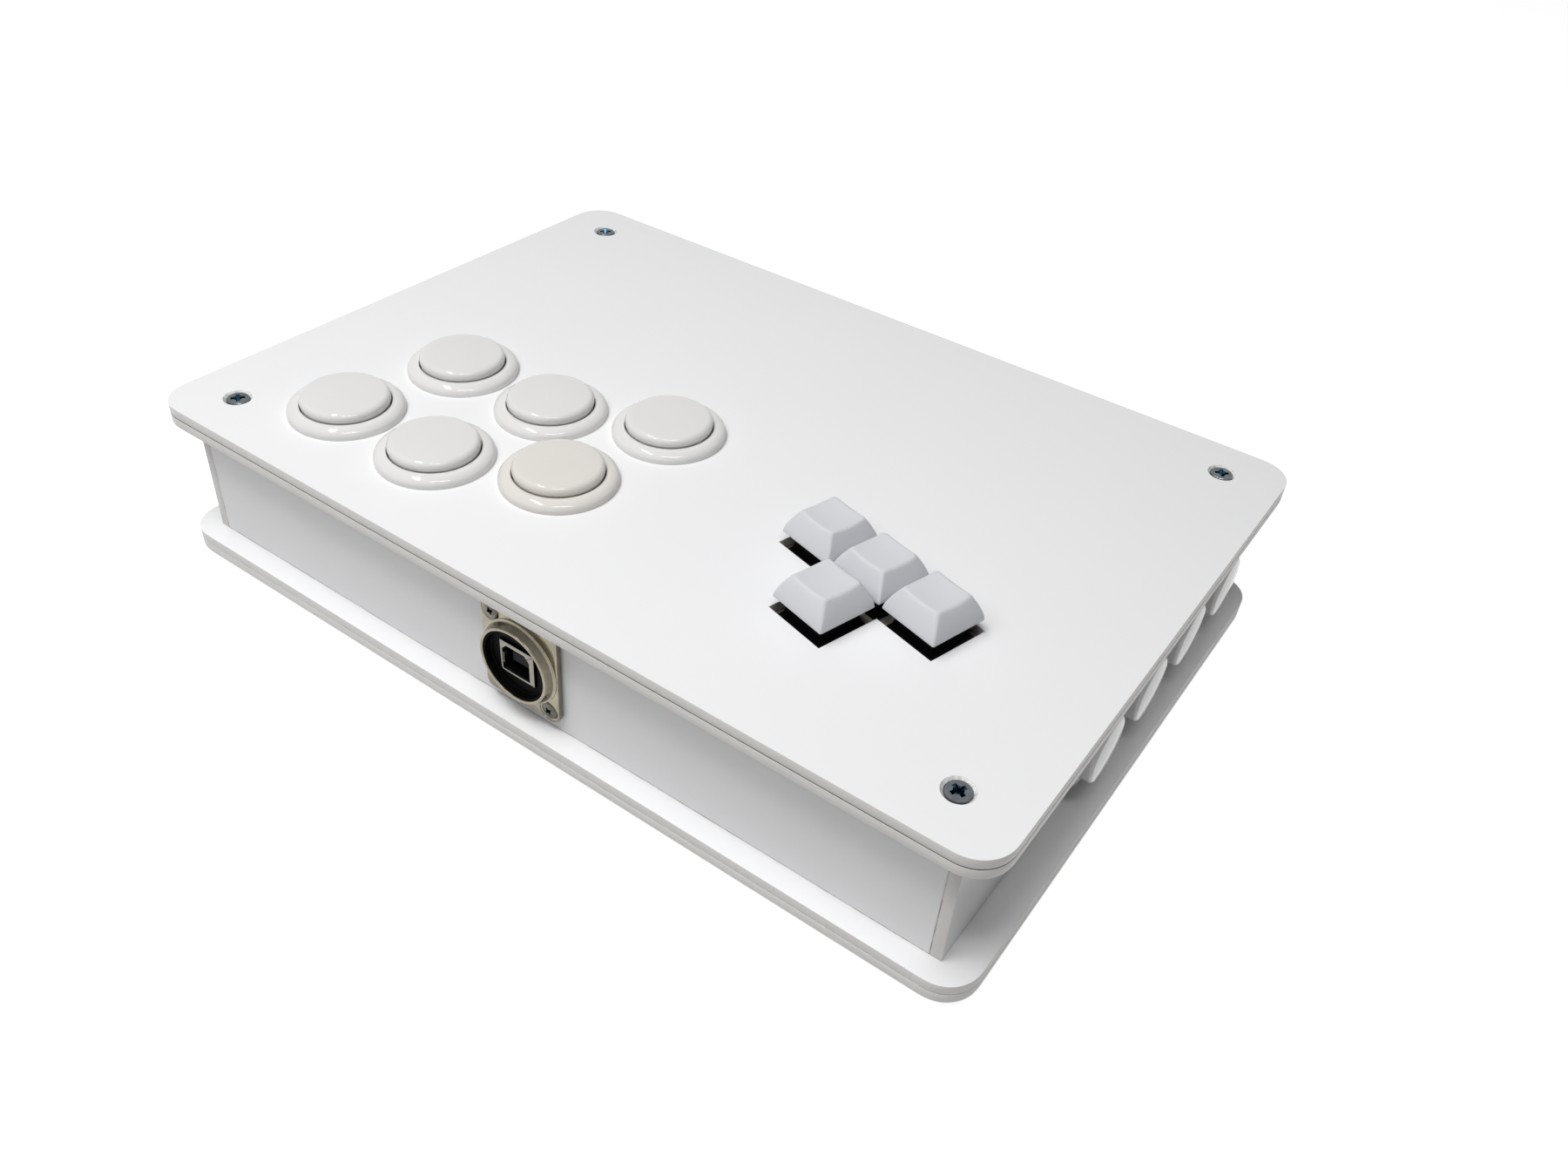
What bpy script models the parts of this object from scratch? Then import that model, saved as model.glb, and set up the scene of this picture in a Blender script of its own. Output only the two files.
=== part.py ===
"""All-button arcade controller: a laminated acrylic box with push buttons, key switches and a USB socket.

Blender 4.5, metres, +Z up. The origin is under the middle of the box, on the surface its feet stand on.
+X runs along the long side to the player's right, -Y is the player's side and +Y is the back, with the
socket. Run it with: blender --background --python part.py
"""

import math

import bmesh
import bpy
from mathutils import Matrix, Vector

# ---------------------------------------------------------------- clearances
SEAT_GAP = 0.0003  # between two pieces that rest on, or pass through, each other
RUNNING_GAP = 0.0004  # round a plunger in its body

# ---------------------------------------------------------------- the box
PANEL_LENGTH = 0.2754
PANEL_DEPTH = 0.1915
CORNER_RADIUS = 0.0100
SHEET = 0.0029  # both plates are two sheets of this, laminated
WALL = 0.0030
WALL_HEIGHT = 0.0377
END_OVERHANG = 0.0091  # plate edge to the outer face of an end wall
SIDE_OVERHANG = 0.0066  # plate edge to the outer face of the front or back wall
FOOT_RADIUS = 0.0063
FOOT_HEIGHT = 0.0030
FOOT_INSET = 0.0200

BOTTOM_OUTER_Z = FOOT_HEIGHT + SEAT_GAP
BOTTOM_INNER_Z = BOTTOM_OUTER_Z + SHEET + SEAT_GAP
WALL_Z = BOTTOM_INNER_Z + SHEET + SEAT_GAP
MOUNTING_Z = WALL_Z + WALL_HEIGHT + SEAT_GAP
MOUNTING_TOP_Z = MOUNTING_Z + SHEET
TOP_Z = MOUNTING_TOP_Z + SEAT_GAP
SURFACE_Z = TOP_Z + SHEET
WALL_MIDDLE_Z = WALL_Z + WALL_HEIGHT / 2
END_WALL_X = PANEL_LENGTH / 2 - END_OVERHANG
SIDE_WALL_Y = PANEL_DEPTH / 2 - SIDE_OVERHANG

# ---------------------------------------------------------------- corner screws and standoffs
SCREW_INSET_X = 0.0175
SCREW_INSET_Y = 0.0156
SCREW_RADIUS = 0.00175
SCREW_HEAD_RADIUS = 0.0033
SCREW_REACH = 0.0090  # of the screw into the standoff
COUNTERSINK_RADIUS = 0.0041
COUNTERSINK_HALF_ANGLE = math.radians(41)
STANDOFF_ACROSS_FLATS = 0.00635
STANDOFF_BORE_DEPTH = 0.0110
FASTENER_STEPS = 16

# ---------------------------------------------------------------- 30 mm buttons in the top sheet
BUTTON_TRAVEL = 0.0030
BUTTON_HOLE_RADIUS = 0.0150
BUTTON_LIP = 0.00165  # of the rim past its hole
BUTTON_BARREL_WALL = 0.00175
BUTTON_TAB_ROOM = 0.0015  # round the hole in the mounting sheet, so that the snap tabs can spread
BUTTON_RIM_HEIGHT = 0.0031
BUTTON_BARREL_DEPTH = 0.0200
BUTTON_PROUD = 0.0062
BUTTON_SKIRT_DEPTH = 0.0065
BUTTON_STEM_RADIUS = 0.0030
BUTTON_STEM_DEPTH = 0.0084
BUTTON_FILLET = 0.0016
BUTTON_STEPS = 24
BUTTON_SPACE = 0.0029  # between the rims of neighbours in a row
ROW_SPACE = 0.0022  # more than that between the rows
BACK_ROW_SHIFT = 0.0075  # of the back row towards the right
INDEX_DROP = math.radians(22.5)  # the index finger's buttons stand this far forward of their rows
BACK_ROW_INSET = 0.03165  # back row to the panel's back edge
FRONT_MIDDLE_X = 0.0485

BUTTON_RIM_RADIUS = BUTTON_HOLE_RADIUS + BUTTON_LIP
BUTTON_BORE_RADIUS = BUTTON_HOLE_RADIUS - SEAT_GAP - BUTTON_BARREL_WALL
BUTTON_WELL_DEPTH = BUTTON_STEM_DEPTH + BUTTON_TRAVEL + 2 * SEAT_GAP
BUTTON_PITCH = 2 * BUTTON_RIM_RADIUS + BUTTON_SPACE
ROW_PITCH = BUTTON_PITCH + ROW_SPACE

# ---------------------------------------------------------------- 24 mm buttons in the left end wall
SIDE_TRAVEL = 0.0030
SIDE_HOLE_RADIUS = 0.0120
SIDE_LIP = 0.0016
SIDE_BARREL_WALL = 0.0019
SIDE_RIM_HEIGHT = 0.0030
SIDE_BARREL_DEPTH = 0.0170
SIDE_PROUD = 0.0073
SIDE_SKIRT_DEPTH = 0.0055
SIDE_STEM_RADIUS = 0.0025
SIDE_STEM_DEPTH = 0.0074
SIDE_FILLET = 0.0011
SIDE_STEPS = 20
SIDE_SPACE = 0.00115  # between neighbouring rims
SIDE_STANDOFF_SPACE = 0.0016  # from the last button's hole to the front standoff
SIDE_COUNT = 4

SIDE_RIM_RADIUS = SIDE_HOLE_RADIUS + SIDE_LIP
SIDE_BORE_RADIUS = SIDE_HOLE_RADIUS - SEAT_GAP - SIDE_BARREL_WALL
SIDE_WELL_DEPTH = SIDE_STEM_DEPTH + SIDE_TRAVEL + 2 * SEAT_GAP
SIDE_PITCH = 2 * SIDE_RIM_RADIUS + SIDE_SPACE
SIDE_ROW_INSET = SCREW_INSET_Y + STANDOFF_ACROSS_FLATS / 2 + SIDE_STANDOFF_SPACE + SIDE_HOLE_RADIUS

# ---------------------------------------------------------------- snap-in button parts below the panel
TAB_REACH = 0.0010  # of a snap tab out of the barrel
TAB_HEIGHT = 0.0030
SWITCH_BLOCK_WIDTH = 0.0064
SWITCH_BLOCK_HEIGHT = 0.0065
TERMINAL_WIDTH = 0.0048
TERMINAL_THICKNESS = 0.0008
TERMINAL_LENGTH = 0.0050

# ---------------------------------------------------------------- key switches and keycaps
KEY_PITCH = 0.01905
KEY_TRAVEL = 0.0040
KEY_CLUSTER_X = -0.0697  # the lower middle key of the inverted T
KEY_CLUSTER_INSET = 0.06395  # the same key to the panel's back edge
KEY_TURN = math.radians(-15)
SWITCH_HOLE = 0.0140
SWITCH_FLANGE_LIP = 0.0008
SWITCH_FLANGE_HEIGHT = 0.0010
SWITCH_HEIGHT = 0.0066
SWITCH_CROWN = 0.0110
SWITCH_DEPTH = 0.0050
SWITCH_CLIP_REACH = 0.0005
SWITCH_PIN_RADIUS = 0.0019
SWITCH_PIN_LENGTH = 0.0033
CONTACT_POINTS = ((-0.0038, 0.0025), (0.0025, 0.0051))
CONTACT_WIDTH = 0.0015
CONTACT_THICKNESS = 0.0006
STEM_LENGTH_X = 0.0072
STEM_LENGTH_Y = 0.0062
STEM_DEPTH = 0.0030
CROSS_LENGTH = 0.0040
CROSS_WIDTH = 0.0012
CROSS_HEIGHT = 0.0038
CAP_SPACE = 0.00095  # between the skirts of neighbouring caps
CAP_WINDOW_SPACE = 0.0004  # from a skirt to the edge of the window in the top sheet
CAP_LIFT = 0.0003  # cap skirt above the top of its switch
CAP_HEIGHT = 0.0072  # at its four upper corners
CAP_TAPER = 0.0031  # of each side towards the top
CAP_CURVE = 1.55  # how late up its height a side leans in
CAP_WALL = 0.0013
CAP_CEILING = 0.0049  # underside of the crown above the skirt's edge
CAP_DISH_RADIUS = 0.0260
CAP_BASE_CORNER = 0.0008
CAP_TOP_CORNER = 0.0019
CAP_POST_RADIUS = 0.0028

SWITCH_FLANGE = SWITCH_HOLE + 2 * SWITCH_FLANGE_LIP
SWITCH_SHOULDER = SWITCH_HOLE + SWITCH_FLANGE_LIP / 2
CAP_BASE_HALF = (KEY_PITCH - CAP_SPACE) / 2
CAP_TOP_HALF = CAP_BASE_HALF - CAP_TAPER
KEY_WINDOW_MARGIN = CAP_BASE_HALF + CAP_WINDOW_SPACE

# ---------------------------------------------------------------- USB socket in the back wall
SOCKET_X = -0.0005
SOCKET_LIFT = 0.0002  # above the middle of the wall
RING_BORE_RADIUS = 0.0106
RING_FRONT_RADIUS = RING_BORE_RADIUS + 0.0009
RING_BASE_RADIUS = RING_BORE_RADIUS + 0.0014
RING_HEIGHT = 0.0029
SOCKET_BARREL_RADIUS = RING_BORE_RADIUS + 0.0010
SOCKET_BARREL_DEPTH = 0.0150
FLANGE_WIDTH = 2 * RING_BASE_RADIUS + 0.0020
FLANGE_HEIGHT = FLANGE_WIDTH + 0.0050
FLANGE_THICKNESS = 0.0018
FLANGE_CORNER = 0.0028
FLANGE_SCREW_INSET = 0.0035
FLANGE_SCREW_RADIUS = 0.0013
FLANGE_SCREW_HEAD_RADIUS = 0.0026
FLANGE_SCREW_LENGTH = 0.0080
INSERT_DEPTH = 0.0220
INSERT_PROUD = 0.0003
SHELL_WIDTH = 0.0117
SHELL_HEIGHT = 0.0103
SHELL_DEPTH = 0.0110
SHELL_PROUD = 0.00065
MOUTH_WIDTH = 0.0095
MOUTH_HEIGHT = 0.0085
MOUTH_CHAMFER = 0.0016
MOUTH_SHIFT = 0.0005  # of the mouth in its shell, towards the spring contact
MOUTH_DROP = 0.0003  # the shell is thicker above its mouth than below
TONGUE_WIDTH = 0.0056
TONGUE_HEIGHT = 0.0032
TONGUE_RECESS = 0.0018

FLANGE_SCREW_X = FLANGE_WIDTH / 2 - FLANGE_SCREW_INSET
FLANGE_SCREW_Z = FLANGE_HEIGHT / 2 - FLANGE_SCREW_INSET
SOCKET_CENTRE = Vector((SOCKET_X, SIDE_WALL_Y, WALL_MIDDLE_Z + SOCKET_LIFT))

# ---------------------------------------------------------------- controller board
BOARD_SIZE = Vector((0.0560, 0.0400, 0.0016))
BOARD_CENTRE = Vector((-0.0280, 0.0250))
PAD_SIZE = Vector((0.0440, 0.0280, 0.0030))
CHIP_SIZE = Vector((0.0090, 0.0090, 0.0012))
TERMINAL_SIZE = Vector((0.0060, 0.0320, 0.0085))


# ---------------------------------------------------------------- building tools
def clear_scene():
    for obj in list(bpy.data.objects):
        bpy.data.objects.remove(obj, do_unlink=True)


def make_material(name, colour, roughness, metallic=0.0):
    material = bpy.data.materials.new(name)
    material.use_nodes = True
    shader = material.node_tree.nodes["Principled BSDF"]
    shader.inputs["Base Color"].default_value = (*colour, 1.0)
    shader.inputs["Roughness"].default_value = roughness
    shader.inputs["Metallic"].default_value = metallic
    return material


def shade(mesh):
    """Smooth shading, broken at every edge over 35 degrees."""
    mesh.shade_smooth()
    mesh.set_sharp_from_angle(angle=math.radians(35))


def to_object(name, bm, material=None):
    """The bmesh as an object, with its faces turned outwards."""
    bmesh.ops.recalc_face_normals(bm, faces=bm.faces)
    mesh = bpy.data.meshes.new(name)
    bm.to_mesh(mesh)
    bm.free()
    shade(mesh)
    obj = bpy.data.objects.new(name, mesh)
    bpy.context.scene.collection.objects.link(obj)
    if material:
        mesh.materials.append(material)
    return obj


def copy_of(source, name, material=None):
    """Another object on the same mesh, in its own material where one is given."""
    obj = bpy.data.objects.new(name, source.data)
    bpy.context.scene.collection.objects.link(obj)
    if material:
        obj.material_slots[0].link = "OBJECT"
        obj.material_slots[0].material = material
    return obj


def stacked(rings):
    """A closed bmesh through rings of equally many points, capped at the first and the last."""
    bm = bmesh.new()
    loops = [[bm.verts.new(point) for point in ring] for ring in rings]
    for below, above in zip(loops, loops[1:]):
        count = len(below)
        for i in range(count):
            bm.faces.new((below[i], below[(i + 1) % count], above[(i + 1) % count], above[i]))
    bm.faces.new(loops[0])
    bm.faces.new(loops[-1])
    return bm


def prism(outline, z_low, z_high):
    return stacked([[(x, y, z) for x, y in outline] for z in (z_low, z_high)])


def turned(profile, steps):
    """A closed bmesh turned about Z from (radius, height) points that start and end on the axis."""
    bm = bmesh.new()
    verts = [bm.verts.new((radius, 0, height)) for radius, height in profile]
    edges = [bm.edges.new(pair) for pair in zip(verts, verts[1:])]
    bmesh.ops.spin(
        bm, geom=verts + edges, cent=(0, 0, 0), axis=(0, 0, 1), angle=math.tau, steps=steps, use_merge=True
    )
    bmesh.ops.remove_doubles(bm, verts=bm.verts, dist=1e-7)
    bmesh.ops.dissolve_degenerate(bm, edges=bm.edges, dist=1e-7)
    return bm


def arc(centre, radius, start, end, steps):
    """Points on an arc about centre, angles in degrees, both ends included."""
    angles = [math.radians(start + (end - start) * i / steps) for i in range(steps + 1)]
    return [(centre[0] + radius * math.cos(a), centre[1] + radius * math.sin(a)) for a in angles]


def ellipse_arc(centre, radii, start, end, steps):
    return [
        (centre[0] + radii[0] * x, centre[1] + radii[1] * y) for x, y in arc((0, 0), 1, start, end, steps)
    ]


def rounded_rectangle(half_x, half_y, radius, corner_steps):
    points = []
    for quarter, (sx, sy) in enumerate(((1, 1), (-1, 1), (-1, -1), (1, -1))):
        centre = (sx * (half_x - radius), sy * (half_y - radius))
        points += arc(centre, radius, 90 * quarter, 90 * quarter + 90, corner_steps)
    return points


def rectangle(half_x, half_y):
    return [(half_x, half_y), (-half_x, half_y), (-half_x, -half_y), (half_x, -half_y)]


def circle(radius, steps):
    return arc((0, 0), radius, 0, 360 * (steps - 1) / steps, steps - 1)


def moved(bm, offset=(0, 0, 0), turn=None):
    """The bmesh turned by a matrix, then moved."""
    matrix = Matrix.Translation(offset) @ (turn or Matrix()).to_4x4()
    bmesh.ops.transform(bm, matrix=matrix, verts=bm.verts)
    return bm


def with_boolean(obj, bm, operation):
    """Adds one exact Boolean, whose hidden operand is a child of the object."""
    operand = to_object(f"{obj.name}_{operation.lower()}_{len(obj.modifiers)}", bm)
    operand.hide_render = True
    operand.display_type = "WIRE"
    operand.parent = obj
    modifier = obj.modifiers.new(operation.title(), "BOOLEAN")
    modifier.operation = operation
    modifier.solver = "EXACT"
    modifier.object = operand
    return obj


def settled(obj):
    """Gives the object the mesh that its Booleans make, and removes them and their operands."""
    graph = bpy.context.evaluated_depsgraph_get()
    mesh = bpy.data.meshes.new_from_object(obj.evaluated_get(graph))
    shade(mesh)
    operands = [modifier.object for modifier in obj.modifiers]
    obj.modifiers.clear()
    obj.data = mesh
    for operand in operands:
        bpy.data.objects.remove(operand, do_unlink=True)
    return obj


def empty_at(name, location, rotation=(0, 0, 0)):
    """An empty that stands at a joint, or at the middle of a group of pieces."""
    empty = bpy.data.objects.new(name, None)
    empty.empty_display_size = 0.01
    empty.location = location
    empty.rotation_euler = rotation
    bpy.context.scene.collection.objects.link(empty)
    return empty


# Out of the left end wall: local +Z points along -X and local +X along +Y.
TURN_TO_LEFT = Matrix.Rotation(-math.pi / 2, 3, "Y") @ Matrix.Rotation(math.pi / 2, 3, "Z")
# Out of the back wall: local +Z points along +Y and local +Y down.
TURN_TO_BACK = Matrix.Rotation(-math.pi / 2, 3, "X")


# ---------------------------------------------------------------- where things stand
def corner_points(inset_x, inset_y):
    """The four corners, from the back left round to the front left."""
    x = PANEL_LENGTH / 2 - inset_x
    y = PANEL_DEPTH / 2 - inset_y
    return {
        "back_left": Vector((-x, y)),
        "back_right": Vector((x, y)),
        "front_right": Vector((x, -y)),
        "front_left": Vector((-x, -y)),
    }


def button_points():
    """The centre of each 30 mm button, by name: two rows of three, the index finger's stepped forward."""
    back_y = PANEL_DEPTH / 2 - BACK_ROW_INSET
    middles = {
        "front": Vector((FRONT_MIDDLE_X, back_y - ROW_PITCH)),
        "back": Vector((FRONT_MIDDLE_X + BACK_ROW_SHIFT, back_y)),
    }
    index_step = BUTTON_PITCH * Vector((math.cos(INDEX_DROP), math.sin(INDEX_DROP)))
    points = {}
    for row, middle in middles.items():
        points[f"{row}_left"] = middle - index_step
        points[f"{row}_middle"] = middle
        points[f"{row}_right"] = middle + Vector((BUTTON_PITCH, 0))
    return points


def key_points():
    """The four key centres in the cluster's own axes, by name: an inverted T."""
    return {
        "down": Vector((0, 0)),
        "left": Vector((-KEY_PITCH, 0)),
        "right": Vector((KEY_PITCH, 0)),
        "up": Vector((0, KEY_PITCH)),
    }


def key_cluster_turn():
    return Matrix.Rotation(KEY_TURN, 3, "Z")


def key_cluster_point():
    return Vector((KEY_CLUSTER_X, PANEL_DEPTH / 2 - KEY_CLUSTER_INSET, 0))


def side_button_points():
    """Y of each side button, by number, from the back towards the player."""
    last = SIDE_ROW_INSET - PANEL_DEPTH / 2
    return {str(i + 1): last + SIDE_PITCH * (SIDE_COUNT - 1 - i) for i in range(SIDE_COUNT)}


# ---------------------------------------------------------------- plates and walls
def plate(name, z, material):
    outline = rounded_rectangle(PANEL_LENGTH / 2, PANEL_DEPTH / 2, CORNER_RADIUS, 7)
    return to_object(name, prism(outline, z, z + SHEET), material)


def through(outline, z):
    """A cutter through one sheet that starts at z."""
    return prism(outline, z - SHEET, z + 2 * SHEET)


def key_window():
    """The inverted T that the keycaps stand in, in the cluster's axes."""
    edge = KEY_WINDOW_MARGIN
    row = KEY_PITCH + edge
    base = [(-row, edge), (-row, -edge), (row, -edge), (row, edge)]
    arm = [(edge, edge), (edge, row), (-edge, row), (-edge, edge)]
    return base + arm


def make_top_sheet(white):
    sheet = plate("top_sheet", TOP_Z, white)
    for point in button_points().values():
        hole = moved(through(circle(BUTTON_HOLE_RADIUS, BUTTON_STEPS), TOP_Z), (*point, 0))
        with_boolean(sheet, hole, "DIFFERENCE")
    window = moved(through(key_window(), TOP_Z), key_cluster_point(), key_cluster_turn())
    with_boolean(sheet, window, "DIFFERENCE")
    shaft = SCREW_RADIUS + SEAT_GAP
    slope = 1 / math.tan(COUNTERSINK_HALF_ANGLE)
    depth = (COUNTERSINK_RADIUS - shaft) * slope
    above = SHEET / 4
    below = -2 * SHEET
    profile = [(0, above), (COUNTERSINK_RADIUS + above / slope, above), (shaft, -depth)]
    profile += [(shaft, below), (0, below)]
    for point in corner_points(SCREW_INSET_X, SCREW_INSET_Y).values():
        with_boolean(sheet, moved(turned(profile, FASTENER_STEPS), (*point, SURFACE_Z)), "DIFFERENCE")
    settled(sheet)


def make_mounting_sheet(white):
    sheet = plate("mounting_sheet", MOUNTING_Z, white)
    clear_hole = circle(BUTTON_HOLE_RADIUS + BUTTON_TAB_ROOM, 18)
    for point in button_points().values():
        hole = moved(through(clear_hole, MOUNTING_Z), (*point, 0))
        with_boolean(sheet, hole, "DIFFERENCE")
    for point in key_points().values():
        hole = moved(through(rectangle(SWITCH_HOLE / 2, SWITCH_HOLE / 2), MOUNTING_Z), (*point, 0))
        with_boolean(sheet, moved(hole, key_cluster_point(), key_cluster_turn()), "DIFFERENCE")
    for point in corner_points(SCREW_INSET_X, SCREW_INSET_Y).values():
        hole = moved(through(circle(SCREW_RADIUS + SEAT_GAP, FASTENER_STEPS), MOUNTING_Z), (*point, 0))
        with_boolean(sheet, hole, "DIFFERENCE")
    settled(sheet)


def make_bottom_sheets(white):
    plate("bottom_outer_sheet", BOTTOM_OUTER_Z, white)
    inner = plate("bottom_inner_sheet", BOTTOM_INNER_Z, white)
    for point in corner_points(SCREW_INSET_X, SCREW_INSET_Y).values():
        hole = moved(through(circle(SCREW_RADIUS + SEAT_GAP, FASTENER_STEPS), BOTTOM_INNER_Z), (*point, 0))
        with_boolean(inner, hole, "DIFFERENCE")
    settled(inner)


def wall(name, half_x, half_y, x, y, material):
    block = prism(rectangle(half_x, half_y), WALL_Z, WALL_Z + WALL_HEIGHT)
    return to_object(name, moved(block, (x, y, 0)), material)


def make_walls(white):
    """The end walls run the full depth, and the front and back walls stand between them."""
    end_x = END_WALL_X - WALL / 2
    side_y = SIDE_WALL_Y - WALL / 2
    side_half = END_WALL_X - WALL - SEAT_GAP
    left = wall("left_end_wall", WALL / 2, SIDE_WALL_Y, -end_x, 0, white)
    for y in side_button_points().values():
        hole = prism(circle(SIDE_HOLE_RADIUS, SIDE_STEPS), -2 * WALL, WALL)
        with_boolean(left, moved(hole, (-END_WALL_X, y, WALL_MIDDLE_Z), TURN_TO_LEFT), "DIFFERENCE")
    settled(left)
    wall("right_end_wall", WALL / 2, SIDE_WALL_Y, end_x, 0, white)
    wall("front_wall", side_half, WALL / 2, 0, -side_y, white)
    back = wall("back_wall", side_half, WALL / 2, 0, side_y, white)
    socket_hole = prism(circle(SOCKET_BARREL_RADIUS + SEAT_GAP, 32), -2 * WALL, WALL)
    with_boolean(back, moved(socket_hole, SOCKET_CENTRE, TURN_TO_BACK), "DIFFERENCE")
    for sign in (1, -1):
        hole = prism(circle(FLANGE_SCREW_RADIUS + SEAT_GAP, FASTENER_STEPS), -2 * WALL, WALL)
        place = SOCKET_CENTRE + Vector((sign * FLANGE_SCREW_X, 0, sign * FLANGE_SCREW_Z))
        with_boolean(back, moved(hole, place, TURN_TO_BACK), "DIFFERENCE")
    settled(back)


# ---------------------------------------------------------------- fasteners and feet
def make_screws(zinc):
    """Countersunk screws, sunk until their cones seat in the countersinks."""
    slope = 1 / math.tan(COUNTERSINK_HALF_ANGLE)
    cone_gap = SEAT_GAP / math.cos(COUNTERSINK_HALF_ANGLE)
    sink = (COUNTERSINK_RADIUS - SCREW_HEAD_RADIUS - cone_gap) * slope
    neck = -sink - (SCREW_HEAD_RADIUS - SCREW_RADIUS) * slope
    tip = MOUNTING_Z - SEAT_GAP - SCREW_REACH - SURFACE_Z
    profile = [(0, -sink), (SCREW_HEAD_RADIUS, -sink), (SCREW_RADIUS, neck), (SCREW_RADIUS, tip), (0, tip)]
    first = to_object("screw_back_left", turned(profile, FASTENER_STEPS), zinc)
    for name, point in corner_points(SCREW_INSET_X, SCREW_INSET_Y).items():
        screw = first if name == "back_left" else copy_of(first, f"screw_{name}")
        screw.location = (*point, SURFACE_Z)


def make_standoffs(aluminium):
    """Hex standoffs, tapped for the screw above, with a stud that screws into the bottom inner sheet."""
    hexagon = circle(STANDOFF_ACROSS_FLATS / math.sqrt(3), 6)
    bore_floor = WALL_HEIGHT - STANDOFF_BORE_DEPTH
    bore = prism(circle(SCREW_RADIUS + SEAT_GAP, FASTENER_STEPS), bore_floor, WALL_HEIGHT + SHEET)
    stud = prism(circle(SCREW_RADIUS, FASTENER_STEPS), SEAT_GAP - SHEET, SHEET)
    first = to_object("standoff_back_left", prism(hexagon, 0, WALL_HEIGHT), aluminium)
    with_boolean(first, bore, "DIFFERENCE")
    with_boolean(first, stud, "UNION")
    settled(first)
    for name, point in corner_points(SCREW_INSET_X, SCREW_INSET_Y).items():
        standoff = first if name == "back_left" else copy_of(first, f"standoff_{name}")
        standoff.location = (*point, WALL_Z)


def make_feet(rubber):
    edge = FOOT_HEIGHT / 4
    flat = FOOT_RADIUS - FOOT_HEIGHT / 3
    profile = [(0, FOOT_HEIGHT), (FOOT_RADIUS, FOOT_HEIGHT)]
    profile += [(flat + edge / 3, edge / 2), (flat - edge / 3, 0), (0, 0)]
    first = to_object("foot_back_left", turned(profile, FASTENER_STEPS), rubber)
    for name, point in corner_points(FOOT_INSET, FOOT_INSET).items():
        foot = first if name == "back_left" else copy_of(first, f"foot_{name}")
        foot.location = (*point, 0)


# ---------------------------------------------------------------- push buttons
def half_turn(sign):
    return Matrix.Rotation(0 if sign > 0 else math.pi, 3, "Z")


def snap_tab(half_width, barrel, top):
    """A barbed tab on the barrel at +Y: a flat ledge under the panel, and a ramp that guides it in."""
    inner = barrel - TAB_REACH
    outer = barrel + TAB_REACH
    foot = top - TAB_HEIGHT
    ledge = top - TAB_HEIGHT / 4
    side = [(inner, top), (outer, top), (outer, ledge), (barrel - TAB_REACH / 2, foot), (inner, foot)]
    return stacked([[(x, y, z) for y, z in side] for x in (-half_width, half_width)])


def button_body(name, hole, rim, rim_height, bore, barrel_depth, well_depth, panel, steps, material):
    """A snap-in button's body: domed rim, barrel with two snap tabs, and the switch under it.

    Its origin is on the panel's outer face, and +Z is the way the plunger stands out.
    """
    barrel = hole - SEAT_GAP
    crest = bore + (rim - bore) * 0.18
    shoulder = rim_height * 0.3
    dome = ellipse_arc((crest, shoulder), (rim - crest, rim_height - shoulder), 90, 0, 3)
    profile = [(0, -well_depth), (bore, -well_depth), (bore, rim_height * 0.9), *dome]
    profile += [(rim, SEAT_GAP), (barrel, SEAT_GAP), (barrel, -barrel_depth), (0, -barrel_depth)]
    body = to_object(name, turned(profile, steps), material)
    tab_top = -panel - SEAT_GAP
    for sign in (1, -1):
        with_boolean(body, moved(snap_tab(hole / 4, barrel, tab_top), (0, 0, 0), half_turn(sign)), "UNION")
    block_floor = -barrel_depth - SWITCH_BLOCK_HEIGHT
    block = prism(rectangle(hole * 0.66, SWITCH_BLOCK_WIDTH / 2), block_floor, TAB_REACH - barrel_depth)
    with_boolean(body, block, "UNION")
    for sign in (1, -1):
        outline = rectangle(TERMINAL_THICKNESS / 2, TERMINAL_WIDTH / 2)
        blade = prism(outline, block_floor - TERMINAL_LENGTH, block_floor + TERMINAL_THICKNESS)
        with_boolean(body, moved(blade, (sign * hole * 0.45, 0, 0)), "UNION")
    return settled(body)


def button_plunger(name, bore, proud, skirt_depth, stem_radius, stem_depth, fillet, steps, material):
    """A plunger: a shallow domed top with a rounded edge, a skirt, and the stem that works the switch."""
    radius = bore - RUNNING_GAP
    sag = proud * 0.055
    rounding = arc((radius - fillet, proud - sag - fillet), fillet, 90, 0, 2)
    profile = [(0, proud), *rounding, (radius, -skirt_depth), (stem_radius, -skirt_depth)]
    profile += [(stem_radius, -stem_depth), (0, -stem_depth)]
    return to_object(name, turned(profile, steps), material)


def make_top_buttons(white, cream):
    """The six 30 mm buttons. The index finger's back button is cream."""
    body = plunger = None
    for name, point in button_points().items():
        finish = cream if name == "back_left" else white
        if body is None:
            body = button_body(
                f"button_body_{name}",
                BUTTON_HOLE_RADIUS,
                BUTTON_RIM_RADIUS,
                BUTTON_RIM_HEIGHT,
                BUTTON_BORE_RADIUS,
                BUTTON_BARREL_DEPTH,
                BUTTON_WELL_DEPTH,
                SHEET,
                BUTTON_STEPS,
                white,
            )
            plunger = button_plunger(
                f"plunger_{name}",
                BUTTON_BORE_RADIUS,
                BUTTON_PROUD,
                BUTTON_SKIRT_DEPTH,
                BUTTON_STEM_RADIUS,
                BUTTON_STEM_DEPTH,
                BUTTON_FILLET,
                BUTTON_STEPS,
                white,
            )
            this_body, this_plunger = body, plunger
        else:
            this_body = copy_of(body, f"button_body_{name}", finish)
            this_plunger = copy_of(plunger, f"plunger_{name}", finish)
        this_body.location = this_plunger.location = (*point, SURFACE_Z)


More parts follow.
